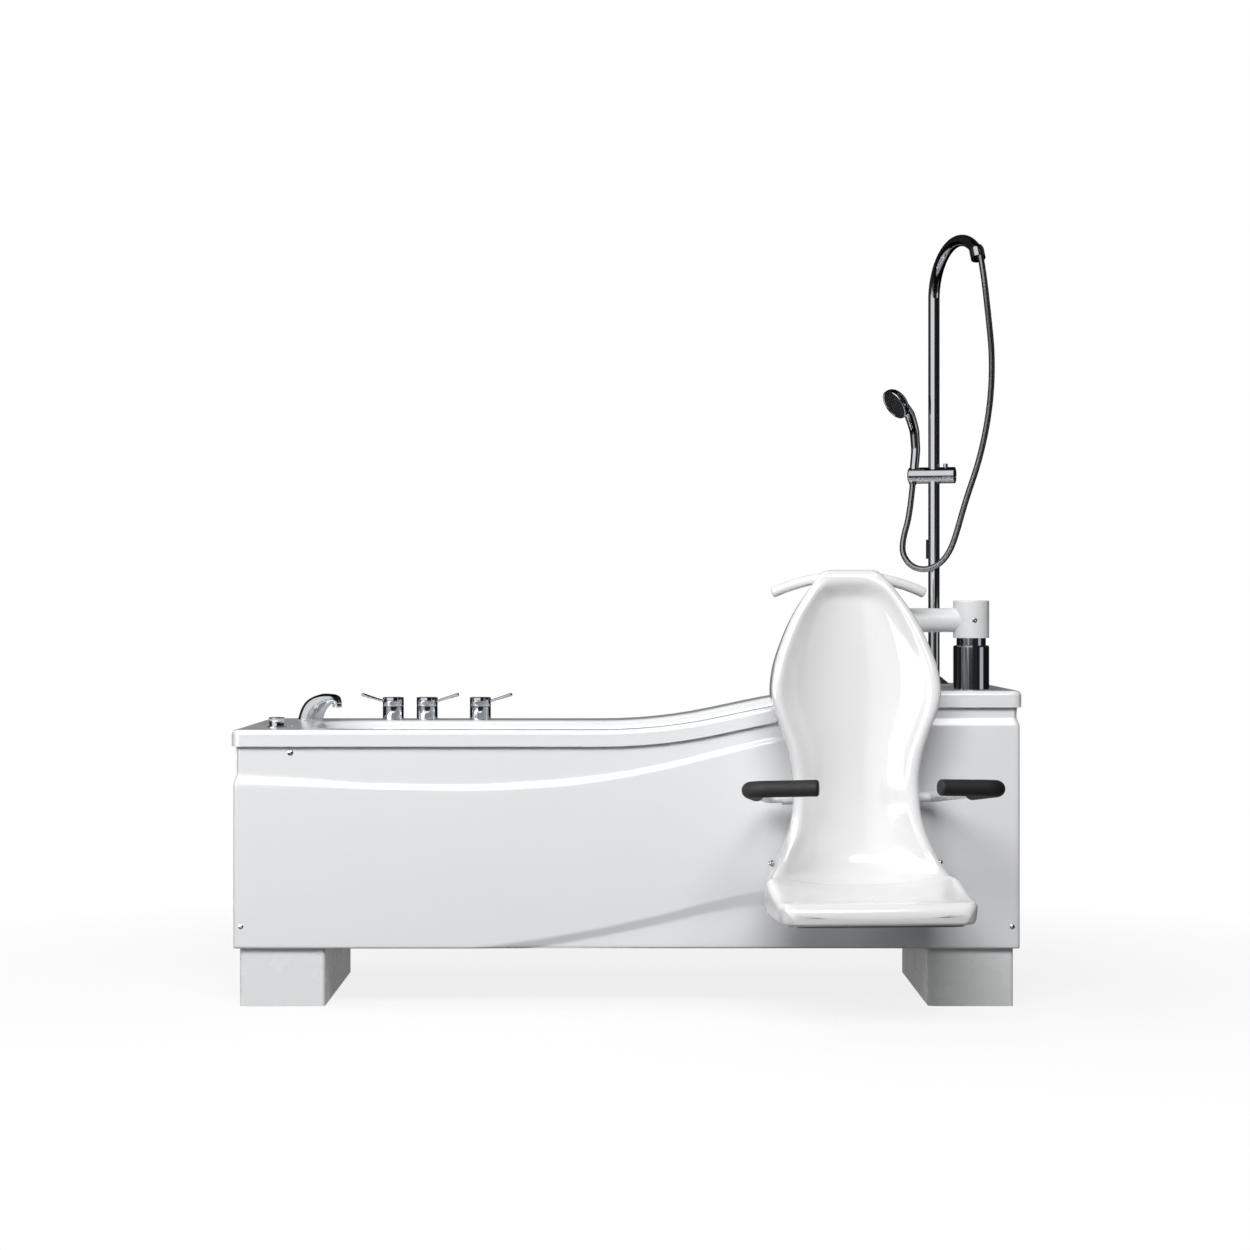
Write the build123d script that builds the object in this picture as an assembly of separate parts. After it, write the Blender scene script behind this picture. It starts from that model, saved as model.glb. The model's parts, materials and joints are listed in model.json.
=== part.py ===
from build123d import *
import os
from math import atan, cos, dist, pi, radians, sin, sqrt, tan

os.makedirs("parts", exist_ok=True)

# A height-adjustable bath with a swivelling transfer seat and a shower riser
# Millimetres, X along the bath to the head end, Y away from the open side, Z up
# The origin is the middle of the four floor fixings, at floor level

# Clearances
SEAT_GAP = 0.3
RUN_GAP = 0.6
FAR = 1200

# Bath rim and deck
LENGTH = 1900
WIDTH = 800
RIM_FOOT = 666
RIM_HEAD = 760
RIM_DEEP = 40
SKIN = 5
RIM_EDGE = 12
RIM_CORNER = 24

# S-shaped rise of the rim from foot to head: its steepest part against its mean slope,
# and the lower arc's share of the two radii
RISE_START = -60
RISE_END = LENGTH / 2 - 200
RISE_STEEP = 1.8316
RISE_LOW_SHARE = 0.3858

# Bathing well
WELL_FOOT = 184 - LENGTH / 2
WELL_HEAD = LENGTH / 2 - 390
WELL_FRONT = -314
WELL_BACK = 214
WELL_FLOOR = 205
FOOT_SLOPE = radians(15)
HEAD_SLOPE = radians(28)
SIDE_SLOPE = radians(6)
WELL_CORNER = 140
WELL_BOTTOM = 90
ROLL = 30

# Skirt panels
PANEL_LOW = 140.5
PANEL_TUCK = 25
PANEL_SKIN = 5
PANEL_INSET = 11
BELLY = 6
PANEL_CORNER = 11
BELLY_FOOT = RIM_FOOT - 137
BELLY_HEAD = RIM_HEAD - 84

# Crest of the belly between its two level ends: share of the rim's rise in X and of its own in Z
CREST = ((-0.381, -0.054), (-0.049, 0.034), (0.328, 0.497), (0.525, 0.755))

# Wave of the hollow at the head end: X, and height over the panel's lower edge
WAVE = ((-330, 0), (-56, 52.5), (206, 115.5), (450, 149.5), (640, 109.5), (800, 0))

# Screws of the front panel, in X and Z
SCREWS = ((24 - LENGTH / 2, 193), (LENGTH / 2 - 24, 193), (142 - LENGTH / 2, RIM_FOOT - 55))
SCREW_HOLE = 5.4
SCREW_SHANK = 5
SCREW_HEAD = 14
SCREW_DOME = 2.5

# Pedestals and lifting columns
PEDESTAL_X = LENGTH / 2 - 122
PEDESTAL_WIDE = 205
PEDESTAL_FRONT = -378
PEDESTAL_BACK = 318
PEDESTAL_HIGH = 440
PEDESTAL_SKIN = 4
PEDESTAL_CORNER = 8
PAD_THICK = 4
PAD_INSET = 6
PLATE_THICK = 8
FIXING_HOLE = 12
FIXING_Y = 250
COLUMN_X = 90
COLUMN_Y = 120
COLUMN_WALL = 4
COLUMN_TOP = RIM_FOOT - 146
RAM_X = 70
RAM_Y = 100
RAM_LOW = 40
SCREW_DIAMETER = 30
NUT_HIGH = 40

# Chassis under the rim
RAIL_LOW = RIM_FOOT - 106
RAIL_HIGH = 60
RAIL_WIDE = 22
RAIL_WALL = 3
RAIL_END = LENGTH / 2 - 25
CROSS_WIDE = 60
HEAD_PLATE = 12
BRACKET_LEFT = 90
BRACKET_BACK = 120
COLLAR_WALL = 12
COLLAR_HIGH = 50
STRAP_WIDE = 40
STRAP_THICK = 6
STRAPS = (-400, -90, 200)
ANGLE_LEG = 20
ANGLE_WALL = 2

# Seat lift post
POST_X = LENGTH / 2 - 113
POST_Y = -310
SLEEVE_DIAMETER = 87
SLEEVE_BORE = 75
SLEEVE_LOW = 190
SLEEVE_TOP = 868
RAM_DIAMETER = 71
RAM_WALL = 5
HEAD_LOW = 886
HEAD_TOP = 977
SPIGOT = 45
SPIGOT_DROP = 15
HEAD_SCREW = 5.6
HEAD_SCREW_LONG = 14
HEAD_SCREW_CAP = 13
BUSH_HIGH = 20
SWING = 5

# Seat arm and spine, in the seat's own frame round the post
ARM_DIAMETER = 58
ARM_Z = 929
ARM_WALL = 4
ARM_PAST = 35
SEAT_X = -316
SEAT_Y = -183
LEAN = 0.0875
SPINE_WIDE = 50
SPINE_DEEP = 25
SPINE_LOW = 262
SPINE_TOP = 1022

# Seat shell
SHELL_TOP = 1049
SHELL_TOP_HALF = 62
NECK_Z = 940
NECK_HALF = 146
SHOULDER_Z = 762
SHOULDER_HALF = 202
RIB_Z = 668
RIB_HALF = 176
WAIST_Z = 528
WAIST_HALF = 149
HIP_Z = 392
HIP_HALF = 179
SEAT_REAR_Z = 315
SEAT_HALF = 222
SEAT_FRONT_HALF = 229
SEAT_LONG = 380
SEAT_FRONT_Z = 295
SEAT_LOW = 244
SHELL_WALL = 7
BOLSTER = 26
SEAT_CORNER = 38
PLATE_WALL = 5
PLATE_HALF = 200
PLATE_FRONT = 45
BOLT_OUT = 200
BOLT_Y = -16
BOLT_Z = 359
BOLT_HEAD = 14
BOLT_HEAD_HIGH = 11
BOLT_SHANK = 8
BOLT_LONG = 22

# Armrests and push handle
ARM_TUBE = 25
GRIP_DIAMETER = 38
ARMREST_Z = 508
CROSSBAR = 30
HUB = 34
HUB_STUB = 20
HUB_WIDE = 28
CROSSBAR_HALF = 137
ARMREST_RISE = 6.5
ARMREST_BENDS = (24, 46)
HANDLE_DIAMETER = 25
HANDLE_HALF = 184
HANDLE_END_Z = 994
HANDLE_Z = 1035

# Sections of the spout from foot to mouth: X and Z of its upper and its lower outline, and its width
SPOUT_SECTIONS = (
    ((-27.7, 0), (37.5, 0), 36), ((-21, 24), (40, 9), 35), ((-7.5, 47), (43.5, 20), 34),
    ((16, 62.5), (49, 30), 32), ((45, 69.3), (56, 38.5), 29), ((71, 67), (60, 41.5), 27),
    ((87.5, 43), (61.9, 43), 25.6))

# Taps, spout and waste
VALVE_XS = (337 - LENGTH / 2, 426 - LENGTH / 2, 566 - LENGTH / 2)
VALVE_Y = 310
VALVE_DIAMETER = 55
VALVE_HIGH = 58
VALVE_SPLIT = 34
LEVER_DIAMETER = 8
LEVER_REACH = 88
LEVER_RISE = 17
TAIL_DIAMETER = 24
TAIL_LONG = 42
STEM_DIAMETER = 14
STEM_HIGH = 12
NUT_CORNER = 18
NUT_THICK = 8
SPOUT_X = 121 - LENGTH / 2
SPOUT_Y = 240
SPOUT_MOUTH = (74.7, 43)
SPOUT_BORE = 25.6
AERATOR_HIGH = 10
KNOB_X = 94 - LENGTH / 2
KNOB_Y = -250
KNOB_DIAMETER = 39
KNOB_HIGH = 25
KNOB_FLANGE = 49
KNOB_FLANGE_HIGH = 2
KNOB_STEM = 10
SENSOR_X = 121 - LENGTH / 2
SENSOR_Y = -149
SENSOR_DIAMETER = 9
WASTE_X = 425 - LENGTH / 2
WASTE_Y = -50
WASTE_DIAMETER = 52
WASTE_FLANGE = 70
WASTE_FLANGE_HIGH = 3
WASTE_OUTLET = 40
OUTLET_WALL = 3
OUTLET_REACH = 70
OUTLET_BEND = 25
OUTLET_LONG = 25
OUTLET_ROOM = 2
OUTLET_Z = WELL_FLOOR - SKIN - OUTLET_ROOM - WASTE_OUTLET / 2
PLUG_DIAMETER = 44
PLUG_STEM = 36

# Shower riser
RISER_X = LENGTH / 2 - 142
RISER_Y = 300
RISER_DIAMETER = 30
RISER_WALL = 2
CROOK_START = 1768
CROOK_R = 140
CROOK_SWEEP = 132
CROOK_YAW = -68
BELL_DIAMETER = 38
BELL_DEEP = 24
BELL_WALL = 3
BELL_FLOOR = 8
ROSETTE = 80
ROSETTE_HIGH = 18
CLIP_Z = 1113
CLIP_HIGH = 50

# Shower slider, handset and hose
SLIDER_Z = 1307
SLIDER_DIAMETER = 43
SLIDER_LEFT = 68
SLIDER_RIGHT = 56
SLIDER_YAW = -18
HANDSET_AT = 52
HANDLE_TUBE = 24
HANDSET_LINE = ((6, -24), (-4, 66), (0, 118), (15, 160), (40, 190))
HANDSET_BENDS = (120, 70, 40)
SPRAY_AT = (66, 183)
PLATE_SET = 3
CAP_SET = 4
CLAMP_AT = 31
CLAMP_DIAMETER = 12
CLAMP_STEM = 5
HOSE_LEAD = 55
SPRAY_DIAMETER = 84
SPRAY_DEEP = 32
HOSE_DIAMETER = 16
HOSE_RISE = 80

# Middle of the hose's route: X and Y from the riser, and height
HOSE_LINE = (
    (114, -240, 1710), (130, -200, 1600), (129, -162, 1478), (108, -128, 1350), (72, -94, 1235),
    (54, -74, 1162), (38, -59, 1110), (14, -46, 1075), (-23, -33, 1057), (-61, -19, 1066),
    (-84, -6, 1100), (-81, 2, 1142))


# How a cylinder stands on or hangs from its place
ON_FACE = (Align.CENTER, Align.CENTER, Align.MIN)
UNDER_FACE = (Align.CENTER, Align.CENTER, Align.MAX)


def save(name, *solids):
    """Write one node's solids to its own STEP file."""
    shape = solids[0] if len(solids) == 1 else Compound(children=list(solids))
    export_step(shape, f"parts/{name}.step")


def rod(diameter, low, high, x=0, y=0):
    """An upright round bar between two heights."""
    return Pos(x, y, low) * Cylinder(diameter / 2, high - low, align=ON_FACE)


def pipe(outer, bore, low, high, x=0, y=0):
    """An upright round tube between two heights."""
    return rod(outer, low, high, x, y) - rod(bore, low, high, x, y)


def block(x_span, y_span, z_span):
    """A box between two values on each axis."""
    size = [span[1] - span[0] for span in (x_span, y_span, z_span)]
    centre = [(span[1] + span[0]) / 2 for span in (x_span, y_span, z_span)]
    return Pos(*centre) * Box(*size)


def prism_xz(face, half=FAR):
    """A face drawn in X and Z, stretched along Y."""
    return extrude(Plane.XZ * face, half, both=True)


def prism_yz(face, half=FAR):
    """A face drawn in Y and Z, stretched along X."""
    return extrude(Plane.YZ * face, half, both=True)


def bent_tube(points, radii, diameter, bore=0):
    """A round tube along straight runs joined by arcs."""
    path = FilletPolyline(*points, radius=radii)
    start = Plane(origin=path @ 0, z_dir=path % 0)
    tube = sweep(start * Circle(diameter / 2), path)
    return tube - sweep(start * Circle(bore / 2), path) if bore else tube


# Rim line
RISE_RUN = RISE_END - RISE_START
RISE_SLOPE = atan(RISE_STEEP * (RIM_HEAD - RIM_FOOT) / RISE_RUN)
RISE_R = (RISE_RUN * tan(RISE_SLOPE) - (RIM_HEAD - RIM_FOOT)) * cos(RISE_SLOPE) / (1 - cos(RISE_SLOPE))
RISE_LOW_R = RISE_LOW_SHARE * RISE_R
RISE_HIGH_R = RISE_R - RISE_LOW_R
RISE_LOW_END = RISE_START + RISE_LOW_R * sin(RISE_SLOPE)
RISE_HIGH_START = RISE_END - RISE_HIGH_R * sin(RISE_SLOPE)


def rim_height(x):
    """Height of the rim's top above the floor at x."""
    if x <= RISE_START:
        return RIM_FOOT
    if x < RISE_LOW_END:
        return RIM_FOOT + RISE_LOW_R - sqrt(RISE_LOW_R**2 - (x - RISE_START) ** 2)
    if x < RISE_HIGH_START:
        return rim_height(RISE_LOW_END - 1e-6) + (x - RISE_LOW_END) * tan(RISE_SLOPE)
    if x < RISE_END:
        return RIM_HEAD - RISE_HIGH_R + sqrt(RISE_HIGH_R**2 - (RISE_END - x) ** 2)
    return RIM_HEAD


def rim_line(drop, reach):
    """The rim's top line as curves in X and Z, lowered by drop."""
    def point(x):
        return (x, rim_height(x) - drop)

    return [
        Line(point(-reach), point(RISE_START)),
        ThreePointArc(point(RISE_START), point((RISE_START + RISE_LOW_END) / 2), point(RISE_LOW_END)),
        Line(point(RISE_LOW_END), point(RISE_HIGH_START)),
        ThreePointArc(point(RISE_HIGH_START), point((RISE_HIGH_START + RISE_END) / 2), point(RISE_END)),
        Line(point(RISE_END), point(reach)),
    ]


def rim_strip(top, low, reach=FAR):
    """The face between two depths under the rim's top line."""
    ends = [
        Line((x, rim_height(x) - top), (x, rim_height(x) - low)) for x in (-reach, reach)
    ]
    return make_face(rim_line(top, reach) + rim_line(low, reach) + ends)


def under_rim(drop, low, reach):
    """The face from a level edge at low up to the rim line lowered by drop."""
    left, right = (-reach, rim_height(-reach) - drop), (reach, rim_height(reach) - drop)
    return make_face(rim_line(drop, reach) + [Polyline(left, (-reach, low), (reach, low), right)])


def plan(inset):
    """The rim's outline seen from above, moved in by inset."""
    return RectangleRounded(LENGTH - 2 * inset, WIDTH - 2 * inset, RIM_CORNER - inset)


def well(grow):
    """The bathing space as a solid, grown by grow on every side."""
    low = WELL_FLOOR - grow
    top = RIM_HEAD + WIDTH / 4

    def wall(start, slope, side, z):
        return start + side * ((z - RIM_FOOT) * tan(slope) + grow / cos(slope))

    long_face = make_face(Polyline(
        (wall(WELL_FOOT, FOOT_SLOPE, -1, top), top), (wall(WELL_FOOT, FOOT_SLOPE, -1, low), low),
        (wall(WELL_HEAD, HEAD_SLOPE, 1, low), low), (wall(WELL_HEAD, HEAD_SLOPE, 1, top), top), close=True))
    cross_face = make_face(Polyline(
        (wall(WELL_FRONT, SIDE_SLOPE, -1, top), top), (wall(WELL_FRONT, SIDE_SLOPE, -1, low), low),
        (wall(WELL_BACK, SIDE_SLOPE, 1, low), low), (wall(WELL_BACK, SIDE_SLOPE, 1, top), top), close=True))
    space = prism_xz(long_face) & prism_yz(cross_face)
    upright = [edge for edge in space.edges() if abs(edge.tangent_at(0.5).Z) > 0.5]
    space = fillet(upright, WELL_CORNER + grow)
    return fillet(space.edges().group_by(Axis.Z)[0], WELL_BOTTOM + grow)


def over_well(point):
    """Whether a point of the deck belongs to the well's edge."""
    return abs(point.Y - (WELL_FRONT + WELL_BACK) / 2) < (WELL_BACK - WELL_FRONT) / 2 + ROLL and (
        WELL_FOOT - ROLL < point.X < RISE_END)


def rim_block(inset, deep):
    """Rim and deck as a strip of the given depth round the well, moved in by inset."""
    solid = prism_xz(rim_strip(inset, deep)) & extrude(plan(inset), 2 * RIM_HEAD)
    solid -= well(inset)
    top = [e for e in solid.edges() if abs(e.center().Z - rim_height(e.center().X) + inset) < 1]
    solid = fillet([e for e in top if over_well(e.center())], ROLL - inset)
    top = [e for e in solid.edges() if abs(e.center().Z - rim_height(e.center().X) + inset) < 1]
    edge = [e for e in top if not over_well(e.center()) and (
        abs(e.center().X) > LENGTH / 2 - RIM_CORNER or abs(e.center().Y) > WIDTH / 2 - RIM_CORNER)]
    return fillet(edge, RIM_EDGE - inset)


def bath_tub():
    """One moulding: rolled rim, deck and well, of even thickness."""
    rim = rim_block(0, RIM_DEEP) - rim_block(SKIN, RIM_DEEP + 1)
    lower = (well(SKIN) - well(0)) & prism_xz(rim_strip(RIM_DEEP, RIM_HEAD))
    tub = rim + lower
    tub -= rod(SLEEVE_DIAMETER + RUN_GAP, RIM_FOOT, FAR, POST_X, POST_Y)
    tub -= rod(TAIL_DIAMETER + RUN_GAP, RIM_FOOT, FAR, RISER_X, RISER_Y)
    for x in VALVE_XS:
        tub -= rod(TAIL_DIAMETER + RUN_GAP, RAIL_LOW, FAR, x, VALVE_Y)
    tub -= rod(TAIL_DIAMETER + RUN_GAP, RAIL_LOW, FAR, SPOUT_X, SPOUT_Y)
    tub -= rod(TAIL_DIAMETER + RUN_GAP, RAIL_LOW, FAR, KNOB_X, KNOB_Y)
    tub -= rod(SENSOR_DIAMETER - 2, RAIL_LOW, FAR, SENSOR_X, SENSOR_Y)
    return tub - rod(WASTE_DIAMETER + RUN_GAP, 0, WELL_FLOOR + 1, WASTE_X, WASTE_Y)


save("bath_tub", bath_tub())


# Skirt panels
PANEL_FRONT = -WIDTH / 2 + PANEL_INSET
PANEL_SIDE = LENGTH / 2 - PANEL_INSET
PANEL_REACH = PANEL_SIDE + BELLY


def crest_face():
    """The front panel's raised belly: crest line above, hollow wave below right."""
    rise = BELLY_HEAD - BELLY_FOOT
    middle = [(RISE_START + along * RISE_RUN, BELLY_FOOT + up * rise) for along, up in CREST]
    crest = Spline(
        (-PANEL_REACH, BELLY_FOOT), *middle, (RISE_END, BELLY_HEAD), (PANEL_REACH, BELLY_HEAD),
        tangents=((1, 0), (1, 0)))
    wave_line = [(x, PANEL_LOW + up) for x, up in WAVE]
    wave = Spline(*wave_line)
    sides = [
        Polyline((-PANEL_REACH, BELLY_FOOT), (-PANEL_REACH, PANEL_LOW), wave_line[0]),
        Polyline(wave_line[-1], (PANEL_REACH, PANEL_LOW), (PANEL_REACH, BELLY_HEAD)),
    ]
    return make_face([crest, wave] + sides)


def front_panel():
    """Front skirt panel with its belly standing forward of the skin."""
    skin = prism_xz(under_rim(PANEL_TUCK, PANEL_LOW, PANEL_SIDE))
    skin &= block((-FAR, FAR), (PANEL_FRONT, PANEL_FRONT + PANEL_SKIN), (0, FAR))
    belly = prism_xz(crest_face())
    belly &= block((-FAR, FAR), (PANEL_FRONT - BELLY, PANEL_FRONT + PANEL_SKIN), (0, FAR))
    panel = skin + belly
    low = [e for e in panel.edges() if abs(e.center().Z - PANEL_LOW) < 1 and abs(e.tangent_at(0.5).Y) > 0.9]
    low = [e for e in low if abs(abs(e.center().X) - PANEL_REACH) < 1]
    panel = fillet(low, PANEL_CORNER)
    for x, z in SCREWS:
        panel -= Pos(x, 0, z) * Rot(90, 0, 0) * Cylinder(SCREW_HOLE / 2, WIDTH)
    return panel


def end_panel(side):
    """End skirt panel, side -1 at the foot and 1 at the head."""
    rim = rim_height(side * LENGTH / 2)
    crest = BELLY_FOOT if side < 0 else BELLY_HEAD
    depth = (PANEL_FRONT + PANEL_SKIN + SEAT_GAP, WIDTH / 2 - PANEL_INSET)
    inner, outer = side * (PANEL_SIDE - PANEL_SKIN), side * PANEL_SIDE
    skin = block(sorted((inner, outer)), depth, (PANEL_LOW, rim - PANEL_TUCK))
    belly = block(sorted((inner, outer + side * BELLY)), depth, (PANEL_LOW, crest))
    return skin + belly


def back_panel():
    """Plain back skirt panel between the end panels."""
    reach = PANEL_SIDE - PANEL_SKIN - SEAT_GAP
    panel = prism_xz(under_rim(PANEL_TUCK, PANEL_LOW, reach))
    back = WIDTH / 2 - PANEL_INSET
    return panel & block((-FAR, FAR), (back - PANEL_SKIN, back), (0, FAR))


def corner_angles():
    """Four upright angles that tie the panels together inside the corners."""
    angles = []
    for side in (-1, 1):
        x = side * (PANEL_SIDE - PANEL_SKIN - 2 * SEAT_GAP)
        for front in (-1, 1):
            y = front * (WIDTH / 2 - PANEL_INSET - PANEL_SKIN - 2 * SEAT_GAP)
            high = (PANEL_LOW + ANGLE_LEG / 2, RAIL_LOW)
            leg = block(sorted((x, x - side * ANGLE_LEG)), sorted((y, y - front * ANGLE_WALL)), high)
            leg += block(sorted((x, x - side * ANGLE_WALL)), sorted((y, y - front * ANGLE_LEG)), high)
            for screw_x, z in SCREWS:
                if front < 0 and abs(screw_x - x) < ANGLE_LEG:
                    leg -= Pos(screw_x, y, z) * Rot(90, 0, 0) * Cylinder(SCREW_HOLE / 2, ANGLE_LEG)
            angles.append(leg)
    return angles


def panel_screw(x, z, face):
    """A domed screw in the front panel, its head on the given face."""
    centre = Pos(x, 0, z) * Rot(90, 0, 0)
    tip = PANEL_BACK + ANGLE_WALL
    shank = centre * Pos(0, 0, -tip) * Cylinder(SCREW_SHANK / 2, tip - face, align=ON_FACE)
    radius = (SCREW_HEAD**2 / 4 + SCREW_DOME**2) / (2 * SCREW_DOME)
    dome = centre * Pos(0, 0, -face + SCREW_DOME - radius) * Sphere(radius)
    head = centre * Pos(0, 0, -face) * Cylinder(SCREW_HEAD / 2, 2 * SCREW_DOME, align=ON_FACE)
    return shank + (dome & head)


PANEL_BELLY_FACE = PANEL_FRONT - BELLY
PANEL_BACK = PANEL_FRONT + PANEL_SKIN
save("front_panel", front_panel())
save("back_panel", back_panel())
save("end_panel_foot", end_panel(-1))
save("end_panel_head", end_panel(1))
save("corner_angles", *corner_angles())
save("panel_screws", *[
    panel_screw(x, z, PANEL_BELLY_FACE if z < BELLY_FOOT else PANEL_FRONT)
    for x, z in SCREWS])


# Pedestals, columns and chassis
def pedestal(side):
    """Fixed cover round one lifting column, open at the top and the floor."""
    outer = Rectangle(PEDESTAL_WIDE, PEDESTAL_BACK - PEDESTAL_FRONT)
    outer = fillet(outer.vertices(), PEDESTAL_CORNER)
    wall = outer - offset(outer, -PEDESTAL_SKIN)
    centre = (PEDESTAL_FRONT + PEDESTAL_BACK) / 2
    return Pos(side * PEDESTAL_X, centre, 1) * extrude(wall, PEDESTAL_HIGH - 1)


def base_layer(side, low, high, inset):
    """Flat layer under one column, inside the pedestal cover, with its fixing holes."""
    x = side * PEDESTAL_X
    size = (PEDESTAL_WIDE - 2 * inset, PEDESTAL_BACK - PEDESTAL_FRONT - 2 * inset)
    outline = RectangleRounded(*size, PEDESTAL_CORNER)
    layer = Pos(x, (PEDESTAL_FRONT + PEDESTAL_BACK) / 2, low) * extrude(outline, high - low)
    for y in (-FIXING_Y, FIXING_Y):
        layer -= rod(FIXING_HOLE, low, high, x, y)
    return layer


def square_tube(side, x_size, y_size, wall, low, high):
    """Upright square tube centred on one column."""
    tube = Box(x_size, y_size, high - low) - Box(x_size - 2 * wall, y_size - 2 * wall, high - low)
    return Pos(side * PEDESTAL_X, 0, (low + high) / 2) * tube


def column_ram(side):
    """Moving inner tube with its head plate and the nut on the lifting screw."""
    x = side * PEDESTAL_X
    ram = square_tube(side, RAM_X, RAM_Y, COLUMN_WALL, RAM_LOW, RAIL_LOW - HEAD_PLATE)
    half_x, half_y = COLUMN_X / 2, COLUMN_Y / 2
    ram += block((x - half_x, x + half_x), (-half_y, half_y), (RAIL_LOW - HEAD_PLATE, RAIL_LOW - SEAT_GAP))
    inside = (RAM_X / 2 - COLUMN_WALL, RAM_Y / 2 - COLUMN_WALL)
    nut = block((x - inside[0], x + inside[0]), (-inside[1], inside[1]), (RAM_LOW, RAM_LOW + NUT_HIGH))
    return ram + nut - rod(SCREW_DIAMETER + RUN_GAP, 0, RAM_LOW + NUT_HIGH + 1, x, 0)


def channel(x_span, y_span):
    """Folded channel at rail height, open underneath."""
    high = RAIL_LOW + RAIL_HIGH
    outer = block(x_span, y_span, (RAIL_LOW, high))
    inner = [(span[0] + RAIL_WALL, span[1] - RAIL_WALL) for span in (x_span, y_span)]
    return outer - block(*inner, (RAIL_LOW - 1, high - RAIL_WALL))


def chassis():
    """Welded ring of channels that carries the bath on the two columns."""
    rail_y = WIDTH / 2 - PANEL_INSET - PANEL_SKIN - SEAT_GAP
    frame = channel((-RAIL_END, RAIL_END), (-rail_y, RAIL_WIDE - rail_y))
    frame += channel((-RAIL_END, RAIL_END), (rail_y - RAIL_WIDE, rail_y))
    inner = rail_y - RAIL_WIDE
    half = CROSS_WIDE / 2
    frame += channel((-PEDESTAL_X - half, -PEDESTAL_X + half), (-inner, inner))
    front = POST_Y + SLEEVE_DIAMETER / 2 + RUN_GAP
    frame += channel((PEDESTAL_X - half, PEDESTAL_X + half), (front, inner))
    for x, z in SCREWS:
        if z > RAIL_LOW:
            frame -= Pos(x, -rail_y, z) * Rot(90, 0, 0) * Cylinder(SCREW_HOLE / 2, 4 * RAIL_WALL)
    return frame


def strap(x):
    """U-shaped strap from rail to rail under the well's floor."""
    reach = WIDTH / 2 - PANEL_INSET - PANEL_SKIN - RAIL_WIDE - 2 * SEAT_GAP
    top = WELL_FLOOR - SKIN - SEAT_GAP
    span = (x - STRAP_WIDE / 2, x + STRAP_WIDE / 2)
    outer = block(span, (-reach, reach), (top - STRAP_THICK, RAIL_LOW + RAIL_HIGH / 2))
    return outer - block((-FAR, FAR), (STRAP_THICK - reach, reach - STRAP_THICK), (top, FAR))


def post_bracket():
    """Plate on the rail and cross channel that holds the post sleeve upright."""
    low = RAIL_LOW + RAIL_HIGH + SEAT_GAP
    front = -WIDTH / 2 + PANEL_INSET + PANEL_SKIN + SEAT_GAP
    plate = block((POST_X - BRACKET_LEFT, RAIL_END), (front, POST_Y + BRACKET_BACK), (low, low + HEAD_PLATE))
    collar = rod(SLEEVE_DIAMETER + 2 * COLLAR_WALL, low, low + COLLAR_HIGH, POST_X, POST_Y)
    plate += collar & block((0, FAR), (front, FAR), (0, FAR))
    return plate - rod(SLEEVE_DIAMETER + SEAT_GAP, 0, FAR, POST_X, POST_Y)


SIDES = {"foot": -1, "head": 1}
save("base_pads", *[base_layer(side, 0, PAD_THICK, PAD_INSET) for side in SIDES.values()])
plate_top = PAD_THICK + PLATE_THICK
save("base_plates", *[
    base_layer(side, PAD_THICK, plate_top, PEDESTAL_SKIN + SEAT_GAP) for side in SIDES.values()])
for end, side in SIDES.items():
    save(f"pedestal_{end}", pedestal(side))
    save(f"column_tube_{end}", square_tube(side, COLUMN_X, COLUMN_Y, COLUMN_WALL, plate_top, COLUMN_TOP))
    save(f"lift_screw_{end}", rod(SCREW_DIAMETER, plate_top, COLUMN_TOP, side * PEDESTAL_X, 0))
    save(f"column_ram_{end}", column_ram(side))
save("chassis", chassis())
save("straps", *[strap(x) for x in STRAPS])
save("post_bracket", post_bracket())


# Seat lift post
def rounded_top(solid, radius):
    """Round the outer edges of a solid's highest face."""
    return fillet(solid.edges().group_by(Axis.Z)[-1], radius)


def post_bush(low, high):
    """Plastic guide ring between sleeve and ram."""
    return pipe(SLEEVE_BORE - 0.1, RAM_DIAMETER + RUN_GAP, low, high, POST_X, POST_Y)


def post_ram():
    """Rising tube of the seat lift with the spigot that the head turns on."""
    shoulder = HEAD_LOW - SEAT_GAP
    ram = pipe(RAM_DIAMETER, RAM_DIAMETER - 2 * RAM_WALL, SLEEVE_LOW + 10, shoulder - 20, POST_X, POST_Y)
    ram += rod(RAM_DIAMETER, shoulder - 20, shoulder, POST_X, POST_Y)
    return ram + rod(SPIGOT, shoulder, HEAD_TOP - SPIGOT_DROP, POST_X, POST_Y)


sleeve = rounded_top(rod(SLEEVE_DIAMETER, SLEEVE_LOW, SLEEVE_TOP, POST_X, POST_Y), 4)
save("post_sleeve", sleeve - rod(SLEEVE_BORE, 0, FAR, POST_X, POST_Y))
bush_top = SLEEVE_TOP - 5
save("post_bushes", post_bush(bush_top - BUSH_HIGH, bush_top), post_bush(RIM_FOOT, RIM_FOOT + BUSH_HIGH))
save("post_ram", post_ram())


# Seat: everything below is built round the post and swung out together
def swung(solid):
    """Put a piece drawn round the post into the bath's frame."""
    return Pos(POST_X, POST_Y, 0) * Rot(0, 0, SWING) * solid


def seat(x, y, z=0):
    """Place from the seat's own centre line and back edge."""
    return Pos(SEAT_X + x, SEAT_Y + y, z)


def rear(z):
    """Depth of the shell's rear face at a height, leaning back as it rises."""
    return 5 + LEAN * (z - SEAT_REAR_Z)


def lean_slab(near, far, low, high, width):
    """Bar that follows the shell's lean between two depths behind its rear face."""
    face = make_face(Polyline(
        (rear(low) + near, low), (rear(low) + far, low), (rear(high) + far, high), (rear(high) + near, high),
        close=True))
    return prism_yz(face, width / 2)


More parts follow.
